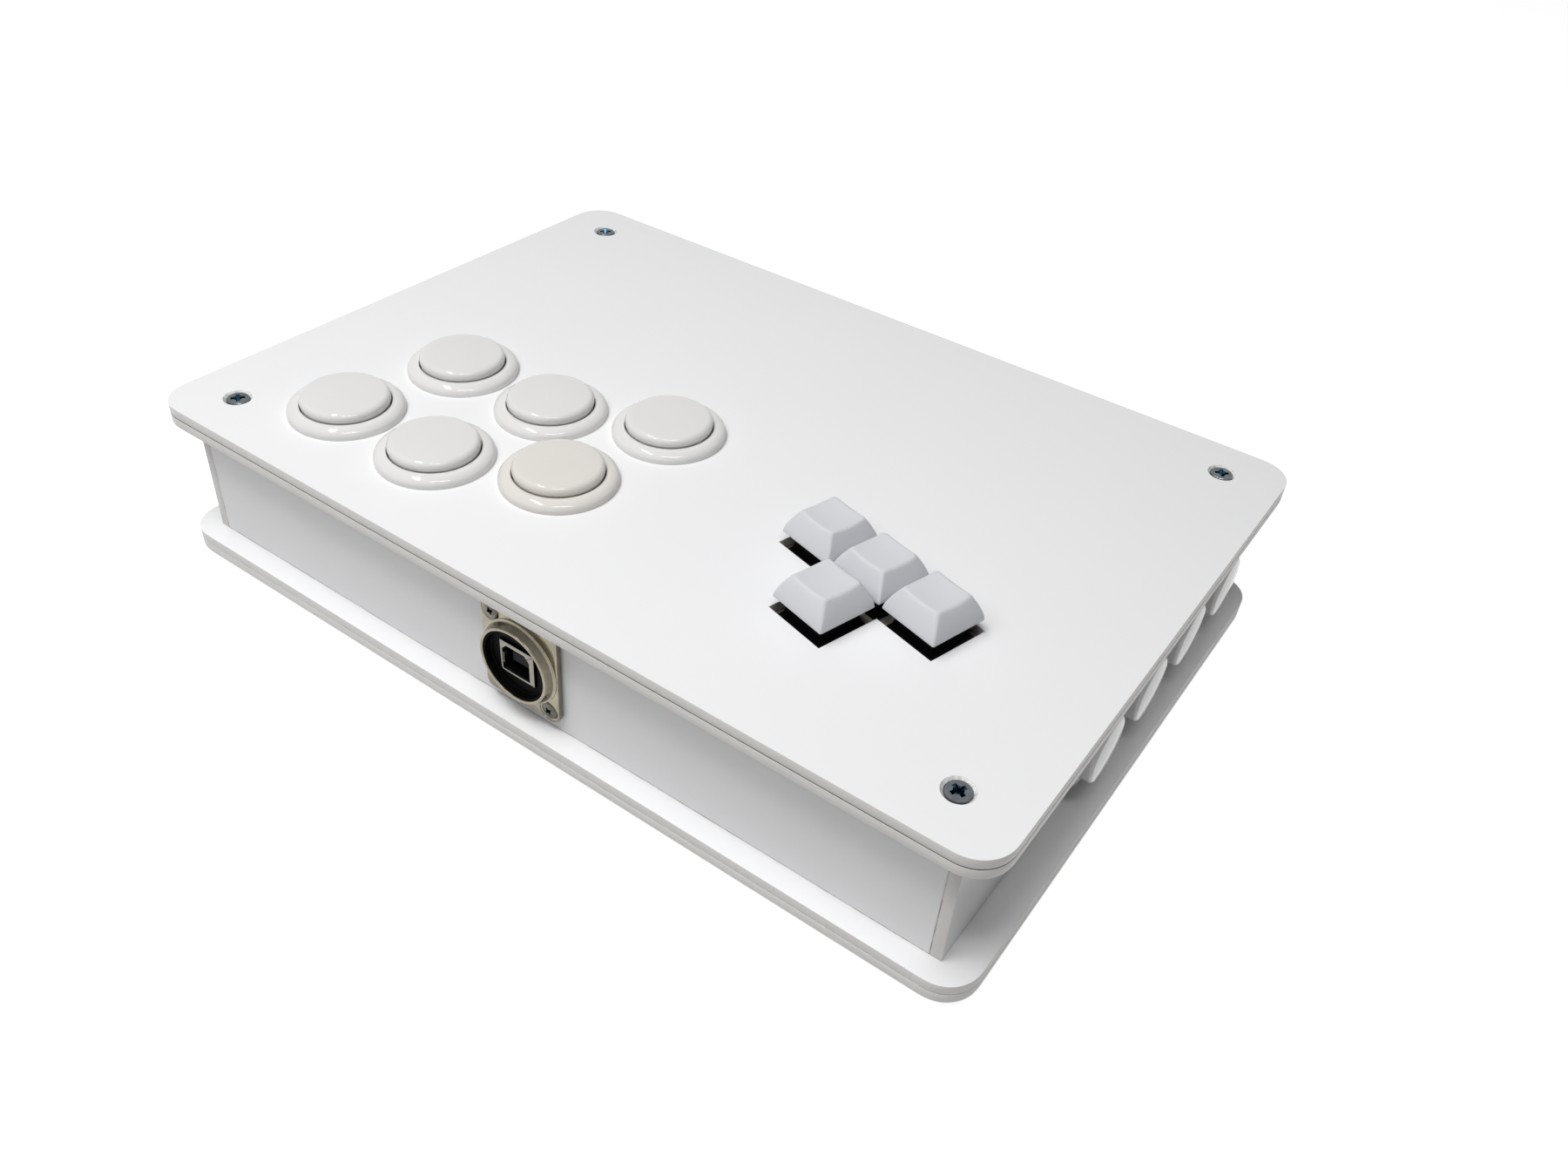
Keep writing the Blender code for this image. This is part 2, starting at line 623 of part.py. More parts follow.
def make_side_buttons(white):
    """The row of 24 mm buttons, which face -X."""
    body = plunger = None
    for name, y in side_button_points().items():
        if body is None:
            body = this_body = button_body(
                f"side_button_body_{name}",
                SIDE_HOLE_RADIUS,
                SIDE_RIM_RADIUS,
                SIDE_RIM_HEIGHT,
                SIDE_BORE_RADIUS,
                SIDE_BARREL_DEPTH,
                SIDE_WELL_DEPTH,
                WALL,
                SIDE_STEPS,
                white,
            )
            plunger = this_plunger = button_plunger(
                f"side_plunger_{name}",
                SIDE_BORE_RADIUS,
                SIDE_PROUD,
                SIDE_SKIRT_DEPTH,
                SIDE_STEM_RADIUS,
                SIDE_STEM_DEPTH,
                SIDE_FILLET,
                SIDE_STEPS,
                white,
            )
        else:
            this_body = copy_of(body, f"side_button_body_{name}")
            this_plunger = copy_of(plunger, f"side_plunger_{name}")
        for piece in (this_body, this_plunger):
            piece.location = (-END_WALL_X, y, WALL_MIDDLE_Z)
            piece.rotation_euler = TURN_TO_LEFT.to_euler()


# ---------------------------------------------------------------- key switches
def square_ring(size_x, size_y, z):
    return [(x, y, z) for x, y in rectangle(size_x / 2, size_y / 2)]


def switch_clip(face):
    """The wedge on the lower body at +Y that catches under the mounting sheet."""
    top = -SHEET - SEAT_GAP
    foot = -SWITCH_DEPTH * 0.9
    reach = SWITCH_CLIP_REACH
    inner = face - 2 * reach
    side = [(inner, top), (face + reach, top), (face - reach / 2, foot), (inner, foot)]
    return stacked([[(x, y, z) for y, z in side] for x in (-STEM_LENGTH_X / 4, STEM_LENGTH_X / 4)])


def switch_housing(name, material):
    """A key switch's housing, its origin on the mounting sheet: flange, tapered crown and stem well."""
    lower = SWITCH_HOLE - 2 * SEAT_GAP
    well_x = STEM_LENGTH_X + 2 * SEAT_GAP
    well_y = STEM_LENGTH_Y + 2 * SEAT_GAP
    well_floor = SWITCH_HEIGHT - KEY_TRAVEL - STEM_DEPTH - SEAT_GAP
    flange_top = SEAT_GAP + SWITCH_FLANGE_HEIGHT
    rings = [
        square_ring(lower * 0.95, lower * 0.95, -SWITCH_DEPTH),
        square_ring(lower, lower, -SWITCH_DEPTH * 0.7),
        square_ring(lower, lower, SEAT_GAP),
        square_ring(SWITCH_FLANGE, SWITCH_FLANGE, SEAT_GAP),
        square_ring(SWITCH_FLANGE, SWITCH_FLANGE, flange_top),
        square_ring(SWITCH_SHOULDER, SWITCH_SHOULDER, flange_top),
        square_ring(SWITCH_CROWN, SWITCH_CROWN, SWITCH_HEIGHT),
        square_ring(well_x, well_y, SWITCH_HEIGHT),
        square_ring(well_x, well_y, well_floor),
    ]
    housing = to_object(name, stacked(rings), material)
    foot = -SWITCH_DEPTH - SWITCH_PIN_LENGTH
    pin = prism(circle(SWITCH_PIN_RADIUS, 10), foot, -SWITCH_DEPTH * 0.9)
    with_boolean(housing, pin, "UNION")
    for place in CONTACT_POINTS:
        contact = prism(rectangle(CONTACT_WIDTH / 2, CONTACT_THICKNESS / 2), foot, -SWITCH_DEPTH * 0.9)
        with_boolean(housing, moved(contact, (*place, 0)), "UNION")
    for sign in (1, -1):
        with_boolean(housing, moved(switch_clip(lower / 2), (0, 0, 0), half_turn(sign)), "UNION")
    return settled(housing)


def cross_outline(length, width):
    """A plus sign, as on the top of a key stem."""
    a = length / 2
    b = width / 2
    upper = [(a, b), (b, b), (b, a), (-b, a), (-b, b), (-a, b)]
    return upper + [(-x, -y) for x, y in upper]


def key_stem(name, material):
    """A stem: the slider, whose top is at its origin, and the cross that carries the cap."""
    slider = prism(rectangle(STEM_LENGTH_X / 2, STEM_LENGTH_Y / 2), -STEM_DEPTH, 0)
    stem = to_object(name, slider, material)
    cross = prism(cross_outline(CROSS_LENGTH, CROSS_WIDTH), -STEM_DEPTH / 2, CROSS_HEIGHT)
    with_boolean(stem, cross, "UNION")
    return settled(stem)


def cap_ring(half, corner, z):
    return [(x, y, z) for x, y in rounded_rectangle(half, half, corner, 3)]


def cap_dish():
    """The ball that dishes a keycap's crown and just leaves its four corners at full height."""
    corner = math.sqrt(2) * (CAP_TOP_HALF - CAP_TOP_CORNER) + CAP_TOP_CORNER
    centre = CAP_HEIGHT + math.sqrt(CAP_DISH_RADIUS**2 - corner**2)
    reach = math.degrees(math.asin(corner / CAP_DISH_RADIUS))
    bowl = arc((0, centre), CAP_DISH_RADIUS, -90, 1.3 * reach - 90, 4)
    return turned(bowl + [(bowl[-1][0], centre), (0, centre)], 24)


def keycap(name, material):
    """A low keycap, hollow and dished on top, with its origin at the foot of its skirt."""

    def half_at(share):
        return CAP_BASE_HALF - CAP_TAPER * share**CAP_CURVE

    def corner_at(share):
        return CAP_BASE_CORNER + (CAP_TOP_CORNER - CAP_BASE_CORNER) * share

    rings = []
    for z in (CAP_CEILING, 0):
        rings.append(cap_ring(half_at(z / CAP_HEIGHT) - CAP_WALL, CAP_BASE_CORNER / 2, z))
    for share in (0, 0.3, 0.65, 1):
        rings.append(cap_ring(half_at(share), corner_at(share), CAP_HEIGHT * share))
    cap = to_object(name, stacked(rings), material)
    with_boolean(cap, cap_dish(), "DIFFERENCE")
    post = prism(circle(CAP_POST_RADIUS, 16), CAP_LIFT, CAP_CEILING + SEAT_GAP)
    with_boolean(cap, post, "UNION")
    slot = cross_outline(CROSS_LENGTH + 2 * SEAT_GAP, CROSS_WIDTH + 2 * SEAT_GAP)
    with_boolean(cap, prism(slot, -CAP_LIFT, CAP_LIFT + CROSS_HEIGHT + SEAT_GAP), "DIFFERENCE")
    return settled(cap)


def make_keys(black, stem_brown, cap_white):
    """Four switches in the mounting sheet. Each stem and its cap hang on an empty on their sliding axis."""
    housing = stem = cap = None
    turn = key_cluster_turn()
    cap_z = MOUNTING_TOP_Z + SWITCH_HEIGHT + CAP_LIFT
    for name, point in key_points().items():
        if housing is None:
            housing = this_housing = switch_housing(f"switch_housing_{name}", black)
            stem = this_stem = key_stem(f"key_stem_{name}", stem_brown)
            cap = this_cap = keycap(f"keycap_{name}", cap_white)
        else:
            this_housing = copy_of(housing, f"switch_housing_{name}")
            this_stem = copy_of(stem, f"key_stem_{name}")
            this_cap = copy_of(cap, f"keycap_{name}")
        centre = key_cluster_point() + turn @ Vector((*point, 0))
        switch = empty_at(f"switch_{name}", centre + Vector((0, 0, MOUNTING_TOP_Z)), (0, 0, KEY_TURN))
        this_housing.parent = switch
        this_stem.parent = switch
        this_stem.location.z = SWITCH_HEIGHT + CAP_LIFT
        this_cap.parent = switch
        this_cap.location.z = cap_z - MOUNTING_TOP_Z


# ---------------------------------------------------------------- USB socket
def mouth_outline():
    """A type B mouth, its two top corners cut off; +Y is down where it stands in the wall."""
    x = MOUTH_WIDTH / 2
    y = MOUTH_HEIGHT / 2
    cut = MOUTH_CHAMFER
    return [(x, y), (-x, y), (-x, cut - y), (cut - x, -y), (x - cut, -y), (x, cut - y)]


def make_flange(nickel):
    """The die-cast flange: plate, raised ring, and the barrel that goes through the wall."""
    outline = rounded_rectangle(FLANGE_WIDTH / 2, FLANGE_HEIGHT / 2, FLANGE_CORNER, 4)
    flange = to_object("usb_flange", prism(outline, SEAT_GAP, SEAT_GAP + FLANGE_THICKNESS), nickel)
    face = SEAT_GAP + FLANGE_THICKNESS
    profile = [
        (0, face + RING_HEIGHT),
        (RING_FRONT_RADIUS, face + RING_HEIGHT),
        (RING_BASE_RADIUS, face),
        (SOCKET_BARREL_RADIUS, face - FLANGE_THICKNESS / 2),
        (SOCKET_BARREL_RADIUS, -SOCKET_BARREL_DEPTH),
        (0, -SOCKET_BARREL_DEPTH),
    ]
    with_boolean(flange, turned(profile, 32), "UNION")
    bore = prism(circle(RING_BORE_RADIUS, 32), -2 * SOCKET_BARREL_DEPTH, 2 * RING_HEIGHT + face)
    with_boolean(flange, bore, "DIFFERENCE")
    shaft = FLANGE_SCREW_RADIUS + SEAT_GAP
    head = FLANGE_SCREW_HEAD_RADIUS + SEAT_GAP
    rise = SEAT_GAP
    cone = [(0, face + rise), (head + rise, face + rise), (shaft, face + shaft - head)]
    cone += [(shaft, -WALL), (0, -WALL)]
    for sign in (1, -1):
        place = (sign * FLANGE_SCREW_X, -sign * FLANGE_SCREW_Z, 0)
        with_boolean(flange, moved(turned(cone, FASTENER_STEPS), place), "DIFFERENCE")
    return settled(flange)


def make_insert(black):
    """The black carrier in the ring, with the pocket for the shell and the contact tongue in it."""
    face = SEAT_GAP + FLANGE_THICKNESS + INSERT_PROUD
    radius = RING_BORE_RADIUS - SEAT_GAP
    insert = to_object("usb_insert", prism(circle(radius, 32), -INSERT_DEPTH, face), black)
    window = rectangle(SHELL_WIDTH / 2 + SEAT_GAP, SHELL_HEIGHT / 2 + SEAT_GAP)
    floor = face + SHELL_PROUD - SHELL_DEPTH - SEAT_GAP
    with_boolean(insert, prism(window, floor, face + SHELL_PROUD), "DIFFERENCE")
    tongue_tip = face + SHELL_PROUD - TONGUE_RECESS
    tongue = prism(rectangle(TONGUE_WIDTH / 2, TONGUE_HEIGHT / 2), floor - SHELL_PROUD, tongue_tip)
    with_boolean(insert, moved(tongue, (MOUTH_SHIFT, MOUTH_DROP, 0)), "UNION")
    return settled(insert)


def make_shell(nickel):
    """The socket's sheet-metal shell, a tube open at both ends."""
    front = SEAT_GAP + FLANGE_THICKNESS + INSERT_PROUD + SHELL_PROUD
    outer = rectangle(SHELL_WIDTH / 2, SHELL_HEIGHT / 2)
    shell = to_object("usb_shell", prism(outer, front - SHELL_DEPTH, front), nickel)
    mouth = prism(mouth_outline(), front - 2 * SHELL_DEPTH, front + SHELL_DEPTH)
    with_boolean(shell, moved(mouth, (MOUTH_SHIFT, MOUTH_DROP, 0)), "DIFFERENCE")
    return settled(shell)


def make_flange_screw(name, nickel):
    face = SEAT_GAP + FLANGE_THICKNESS
    neck = face - (FLANGE_SCREW_HEAD_RADIUS - FLANGE_SCREW_RADIUS)
    tip = face - FLANGE_SCREW_LENGTH
    profile = [(0, face), (FLANGE_SCREW_HEAD_RADIUS, face)]
    profile += [(FLANGE_SCREW_RADIUS, neck), (FLANGE_SCREW_RADIUS, tip), (0, tip)]
    return to_object(name, turned(profile, FASTENER_STEPS), nickel)


def make_socket(nickel, black):
    """Everything in the back wall hangs on one empty on the wall's outer face, +Z out of the wall."""
    centre = empty_at("usb_socket", SOCKET_CENTRE, TURN_TO_BACK.to_euler())
    pieces = [make_flange(nickel), make_insert(black), make_shell(nickel)]
    for name, sign in (("usb_screw_upper", 1), ("usb_screw_lower", -1)):
        screw = make_flange_screw(name, nickel)
        screw.location = (sign * FLANGE_SCREW_X, -sign * FLANGE_SCREW_Z, 0)
        pieces.append(screw)
    for piece in pieces:
        piece.parent = centre


# ---------------------------------------------------------------- controller board
def box(name, size, low_middle, material):
    """A box that stands on the middle of its lower face."""
    return to_object(name, moved(prism(rectangle(size.x / 2, size.y / 2), 0, size.z), low_middle), material)


def make_board(green, foam):
    """The controller board on its foam pad, with a terminal block along each end and its processor."""
    box("board_pad", PAD_SIZE, (*BOARD_CENTRE, WALL_Z), foam)
    board_z = WALL_Z + PAD_SIZE.z + SEAT_GAP
    board = box("controller_board", BOARD_SIZE, (*BOARD_CENTRE, board_z), green)
    sunk = BOARD_SIZE.z / 4
    parts = [(CHIP_SIZE, (0, 0))]
    for side in (-1, 1):
        parts.append((TERMINAL_SIZE, (side * (BOARD_SIZE.x / 2 - TERMINAL_SIZE.x), 0)))
    for size, (x, y) in parts:
        block = prism(rectangle(size.x / 2, size.y / 2), -sunk, size.z)
        place = (BOARD_CENTRE.x + x, BOARD_CENTRE.y + y, board_z + BOARD_SIZE.z)
        with_boolean(board, moved(block, place), "UNION")
    settled(board)


# ---------------------------------------------------------------- the whole object
def main():
    clear_scene()
    acrylic = make_material("white_acrylic", (0.86, 0.87, 0.88), 0.22)
    button_white = make_material("button_white", (0.80, 0.79, 0.77), 0.12)
    button_cream = make_material("button_cream", (0.74, 0.71, 0.65), 0.12)
    cap_white = make_material("keycap_white", (0.78, 0.79, 0.82), 0.55)
    housing_black = make_material("housing_black", (0.02, 0.02, 0.022), 0.45)
    stem_brown = make_material("stem_brown", (0.18, 0.09, 0.05), 0.4)
    nickel = make_material("satin_nickel", (0.62, 0.58, 0.52), 0.28, 1.0)
    zinc = make_material("dark_zinc", (0.28, 0.31, 0.33), 0.35, 1.0)
    aluminium = make_material("aluminium", (0.70, 0.71, 0.72), 0.35, 1.0)
    rubber = make_material("rubber", (0.03, 0.03, 0.03), 0.8)
    board_green = make_material("board_green", (0.02, 0.16, 0.07), 0.4)
    foam = make_material("foam", (0.75, 0.75, 0.72), 0.95)
    make_top_sheet(acrylic)
    make_mounting_sheet(acrylic)
    make_bottom_sheets(acrylic)
    make_walls(acrylic)
    make_screws(zinc)
    make_standoffs(aluminium)
    make_feet(rubber)
    make_top_buttons(button_white, button_cream)
    make_side_buttons(button_white)
    make_keys(housing_black, stem_brown, cap_white)
    make_socket(nickel, housing_black)
    make_board(board_green, foam)


main()
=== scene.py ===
"""Finishes and fine shapes for the all-button arcade controller, built round its CAD frame.

The frame is the CAD's: metres, +Z up, +X the player's right and +Y the back, where the socket is.
Sizes are in millimetres until they reach Blender, which takes them times MM.
"""

import math

import bpy
from mathutils import Matrix, Vector


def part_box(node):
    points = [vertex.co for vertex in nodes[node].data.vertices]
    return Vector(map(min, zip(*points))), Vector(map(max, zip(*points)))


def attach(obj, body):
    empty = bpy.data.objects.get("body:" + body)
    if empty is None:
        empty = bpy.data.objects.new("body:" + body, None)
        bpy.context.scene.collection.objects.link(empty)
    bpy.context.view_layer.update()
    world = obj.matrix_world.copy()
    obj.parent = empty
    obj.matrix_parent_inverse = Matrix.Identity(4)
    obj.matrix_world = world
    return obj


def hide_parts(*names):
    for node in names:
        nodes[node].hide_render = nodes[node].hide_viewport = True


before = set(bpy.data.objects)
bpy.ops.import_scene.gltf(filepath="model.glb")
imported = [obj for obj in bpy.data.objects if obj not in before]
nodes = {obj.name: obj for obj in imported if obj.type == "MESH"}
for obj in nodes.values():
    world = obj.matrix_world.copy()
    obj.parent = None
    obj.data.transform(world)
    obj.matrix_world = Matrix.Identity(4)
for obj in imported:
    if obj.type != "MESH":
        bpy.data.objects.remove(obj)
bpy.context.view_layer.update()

MM = 0.001
MERGE = 2e-6  # points nearer than this, in metres, become one

SHEET = 2.9
SHEET_CORNER = 10
WALL = 3.0
FILM_GAP = 0.02  # between a film of glue and what it joins
COUNTERSINK = 41  # half the angle of the corner screws' cones, in degrees
CORNERS = ("back_left", "back_right", "front_right", "front_left")
KEYS = ("up", "down", "left", "right")


# ---------------------------------------------------------------- bench tools
def only(*objs):
    """Selects these objects and nothing else; the first is the active one."""
    bpy.ops.object.select_all(action="DESELECT")
    for obj in objs:
        obj.select_set(True)
    if objs:
        bpy.context.view_layer.objects.active = objs[0]


def edit_mode():
    bpy.ops.object.mode_set(mode="EDIT")


def object_mode():
    bpy.ops.object.mode_set(mode="OBJECT")


def named(name):
    obj = bpy.context.view_layer.objects.active
    obj.name = name
    obj.data.name = name
    return obj


def pick_points(obj, test):
    """In edit mode, selects the points that pass the test."""
    bpy.ops.mesh.select_mode(type="VERT")
    bpy.ops.mesh.select_all(action="DESELECT")
    object_mode()
    for vertex in obj.data.vertices:
        vertex.select = test(vertex)
    edit_mode()


def pick_edges(obj, test):
    """In edit mode, selects the edges whose two ends pass the test."""
    bpy.ops.mesh.select_mode(type="EDGE")
    bpy.ops.mesh.select_all(action="DESELECT")
    object_mode()
    points = obj.data.vertices
    for edge in obj.data.edges:
        edge.select = test(*(points[i].co for i in edge.vertices))
    edit_mode()


def arc(centre, radius, start, end, steps):
    """Points on an arc, angles in degrees, both ends included."""
    angles = [math.radians(start + (end - start) * i / steps) for i in range(steps + 1)]
    return [(centre[0] + radius * math.cos(a), centre[1] + radius * math.sin(a)) for a in angles]


def turned(name, profile, steps):
    """Spins a line of (radius, height) points, in millimetres, round Z."""
    only()
    bpy.ops.mesh.primitive_plane_add(size=MM, enter_editmode=True, location=(0, 0, 0))
    obj = named(name)
    bpy.ops.mesh.select_mode(type="VERT")
    bpy.ops.mesh.merge(type="CENTER")
    bpy.ops.transform.translate(value=(profile[0][0] * MM, 0, profile[0][1] * MM))
    for (r0, z0), (r1, z1) in zip(profile, profile[1:]):
        step = ((r1 - r0) * MM, 0, (z1 - z0) * MM)
        bpy.ops.mesh.extrude_region_move(TRANSFORM_OT_translate={"value": step})
    bpy.ops.mesh.select_all(action="SELECT")
    bpy.ops.mesh.spin(steps=steps, angle=math.tau, center=(0, 0, 0), axis=(0, 0, 1))
    tidy_skin()
    return obj


def tidy_skin():
    """Closes seams and poles in edit mode, faces the mesh outwards, and leaves edit mode."""
    bpy.ops.mesh.select_all(action="SELECT")
    bpy.ops.mesh.remove_doubles(threshold=MERGE)
    bpy.ops.mesh.dissolve_degenerate(threshold=1e-6)
    bpy.ops.mesh.select_all(action="SELECT")
    bpy.ops.mesh.normals_make_consistent(inside=False)
    object_mode()


def lofted(name, rings, corner_steps, side_cuts=0):
    """Rounded squares, bridged into one closed skin.

    Each ring is (half_x, half_y, corner, height), in millimetres.
    """
    only()
    bpy.ops.mesh.primitive_plane_add(size=2 * MM, enter_editmode=True, location=(0, 0, 0))
    obj = named(name)
    bpy.ops.mesh.select_mode(type="VERT")
    for i, (half_x, half_y, corner, height) in enumerate(rings):
        if i:
            bpy.ops.mesh.primitive_plane_add(size=2 * MM, location=(0, 0, 0))
        bpy.ops.transform.resize(value=(half_x, half_y, 1))
        bpy.ops.mesh.bevel(
            offset=corner * MM, segments=corner_steps, affect="VERTICES", clamp_overlap=False
        )
        bpy.ops.transform.translate(value=(0, 0, height * MM))
        bpy.ops.mesh.delete(type="ONLY_FACE")
    count = 4 * (corner_steps + 1)
    for i in range(len(rings) - 1):
        pick_points(obj, lambda point: i * count <= point.index < (i + 2) * count)
        bpy.ops.mesh.bridge_edge_loops()
    if side_cuts:
        cut_sides(obj, side_cuts)
    bpy.ops.mesh.select_all(action="SELECT")
    bpy.ops.mesh.fill_holes(sides=0)
    tidy_skin()
    return obj


def cut_sides(obj, cuts):
    """Divides the straight part of every ring, and the faces between them."""

    def straight(a, b):
        level = abs(b.z - a.z) < 1e-7
        return level and min(abs(b.x - a.x), abs(b.y - a.y)) < 1e-7

    pick_edges(obj, straight)
    bpy.ops.mesh.subdivide(number_cuts=cuts)
    bpy.ops.mesh.select_mode(type="VERT")


def block(name, size, centre):
    """A cuboid of that size, in millimetres."""
    only()
    bpy.ops.mesh.primitive_cube_add(size=MM, enter_editmode=True, location=(0, 0, 0))
    obj = named(name)
    bpy.ops.transform.resize(value=size)
    bpy.ops.transform.translate(value=Vector(centre) * MM)
    object_mode()
    return obj


def apply_modifier(obj, kind, **settings):
    only(obj)
    modifier = obj.modifiers.new(kind.title(), kind)
    for key, value in settings.items():
        setattr(modifier, key, value)
    bpy.ops.object.modifier_apply(modifier=modifier.name)
    return obj


def cut(obj, *cutters):
    for cutter in cutters:
        apply_modifier(obj, "BOOLEAN", operation="DIFFERENCE", solver="EXACT", object=cutter)
        bpy.data.objects.remove(cutter, do_unlink=True)
    return obj


def join(obj, *others):
    only(obj, *others)
    bpy.ops.object.join()
    return obj


def soften(obj, width, segments=2, angle=30):
    """Breaks every sharp edge with a small round, in millimetres."""
    apply_modifier(
        obj,
        "BEVEL",
        width=width * MM,
        segments=segments,
        limit_method="ANGLE",
        angle_limit=math.radians(angle),
        miter_outer="MITER_ARC",
    )
    return obj


def smooth(obj, angle=40, flat_faces=True):
    """Smooth shading up to that angle; on a boxy piece the big faces then stay flat."""
    only(obj)
    bpy.ops.object.shade_smooth_by_angle(angle=math.radians(angle))
    if flat_faces:
        apply_modifier(obj, "WEIGHTED_NORMAL", keep_sharp=True, weight=100)
    return obj


def smooth_turned(obj):
    return smooth(obj, 35, False)


def place(obj, location=(0, 0, 0), turn=(0, 0, 0)):
    """Turns the piece and moves it, and puts both into its mesh."""
    only(obj)
    obj.rotation_euler = turn
    obj.location = location
    bpy.ops.object.transform_apply(location=True, rotation=True, scale=True)
    return obj


def another(source, name):
    only(source)
    bpy.ops.object.duplicate()
    return named(name)


def paint(obj, *finishes):
    obj.data.materials.clear()
    for finish in finishes:
        obj.data.materials.append(finish)
    return obj


def fit(obj, body, *stands_for, slot):
    """Rides the piece on its body, in place of its CAD nodes."""
    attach(obj, body)
    if stands_for:
        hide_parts(*stands_for)
    return obj


def refined(node, name, width, reshape=None, merge_flats=True):
    """A copy of a CAD node with merged points, reshaped if asked, and softened edges."""
    only(nodes[node])
    bpy.ops.object.duplicate()
    obj = named(name)
    obj.parent = None
    for key in list(obj.keys()):
        del obj[key]
    edit_mode()
    bpy.ops.mesh.select_all(action="SELECT")
    bpy.ops.mesh.remove_doubles(threshold=MERGE)
    bpy.ops.mesh.select_all(action="SELECT")
    bpy.ops.mesh.customdata_custom_splitnormals_clear()
    if merge_flats:
        bpy.ops.mesh.dissolve_limited(angle_limit=math.radians(1))
    object_mode()
    if reshape:
        reshape(obj)
    return soften(obj, width)


def middle_of(node):
    low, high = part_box(node)
    return (low + high) / 2


# ---------------------------------------------------------------- finishes
def new_finish(name, roughness, metallic=0.0, **sockets):
    finish = bpy.data.materials.new(name)
    finish.use_nodes = True
    shader = finish.node_tree.nodes["Principled BSDF"]
    shader.inputs["Roughness"].default_value = roughness
    shader.inputs["Metallic"].default_value = metallic
    for socket, value in sockets.items():
        shader.inputs[socket.replace("_", " ")].default_value = value
    return finish


def add(finish, kind, inputs=None, **settings):
    """Adds a node; an input is a value, or another node's output to link."""
    node = finish.node_tree.nodes.new(kind)
    for key, value in settings.items():
        setattr(node, key, value)
    for key, value in (inputs or {}).items():
        if isinstance(value, bpy.types.NodeSocket):
            finish.node_tree.links.new(value, node.inputs[key])
        else:
            node.inputs[key].default_value = value
    return node


def into(finish, socket, output):
    shader = finish.node_tree.nodes["Principled BSDF"]
    finish.node_tree.links.new(output, shader.inputs[socket])


def places(finish, scale=(1, 1, 1)):
    """Object coordinates, stretched."""
    coordinates = add(finish, "ShaderNodeTexCoord").outputs["Object"]
    return add(finish, "ShaderNodeMapping", {"Vector": coordinates, "Scale": scale}).outputs[0]


def noise(finish, vector, scale, detail=3.0, roughness=0.5):
    inputs = {"Vector": vector, "Scale": scale, "Detail": detail, "Roughness": roughness}
    return add(finish, "ShaderNodeTexNoise", inputs).outputs["Fac"]


def reckoned(finish, operation, first, second):
    """The sum, product or comparison of two values."""
    return add(finish, "ShaderNodeMath", {0: first, 1: second}, operation=operation).outputs[0]


def ranged(finish, value, low, high, to_low=0, to_high=1):
    """The value, moved from one range to another and held inside it."""
    inputs = {"Value": value, "From Min": low, "From Max": high}
    inputs.update({"To Min": to_low, "To Max": to_high})
    return add(finish, "ShaderNodeMapRange", inputs).outputs["Result"]


def mixed(finish, share, first, second):
    """A colour between two, each a colour or a node's output."""
    node = add(finish, "ShaderNodeMix", {"Factor": share}, data_type="RGBA")
    for key, value in (("A", first), ("B", second)):
        socket = [s for s in node.inputs if s.name == key and s.type == "RGBA"][0]
        if isinstance(value, bpy.types.NodeSocket):
            finish.node_tree.links.new(value, socket)
        else:
            socket.default_value = (*value, 1)
    return [s for s in node.outputs if s.type == "RGBA"][0]


def bumped(finish, height, strength, distance):
    """Relief from a pattern; the distance is in metres."""
    inputs = {"Height": height, "Strength": strength, "Distance": distance}
    into(finish, "Normal", add(finish, "ShaderNodeBump", inputs).outputs["Normal"])


def scattered(finish, scale, size, share):
    """1 in small round spots, size in metres, in that share of the cells of a grid."""
    cells = add(finish, "ShaderNodeTexVoronoi", {"Vector": places(finish), "Scale": scale})
    spot = reckoned(finish, "LESS_THAN", cells.outputs["Distance"], size * scale)
    draw = add(finish, "ShaderNodeSeparateColor", {"Color": cells.outputs["Color"]}).outputs[0]
    return reckoned(finish, "MULTIPLY", spot, reckoned(finish, "LESS_THAN", draw, share))


def acrylic_face():
    """Cast white acrylic: nearly even, a little cloudy, with a few specks of dust."""
    finish = new_finish("white_acrylic_face", 0.34, IOR=1.49, Specular_IOR_Level=0.2)
    cloud = noise(finish, places(finish), 18, 2)
    tone = mixed(finish, cloud, (0.85, 0.853, 0.862), (0.872, 0.874, 0.883))
    tone = mixed(finish, scattered(finish, 55, 0.00016, 0.08), tone, (0.25, 0.24, 0.23))
    into(finish, "Base Color", tone)
    polish = noise(finish, places(finish), 60, 4)
    into(finish, "Roughness", ranged(finish, polish, 0.3, 0.7, 0.31, 0.38))
    bumped(finish, noise(finish, places(finish), 900, 3), 0.05, 0.00002)
    return finish


def painted_window_shade():
    """The mounting sheet's upper face, bare only in the key window: painted shade, a blotched dark
    grey.
    """
    finish = new_finish("mounting_sheet_painted_shade", 0.5, Specular_IOR_Level=0.2)
    shade_noise = noise(finish, places(finish), 420, 4, 0.6)
    patches = ranged(finish, shade_noise, 0.35, 0.65)
    # painted shade: these dark greys stand in for the shade down in the key window; the sheet
    # itself is white acrylic
    into(finish, "Base Color", mixed(finish, patches, (0.30, 0.283, 0.25), (0.20, 0.186, 0.16)))
    bumped(finish, shade_noise, 0.1, 0.00004)
    return finish


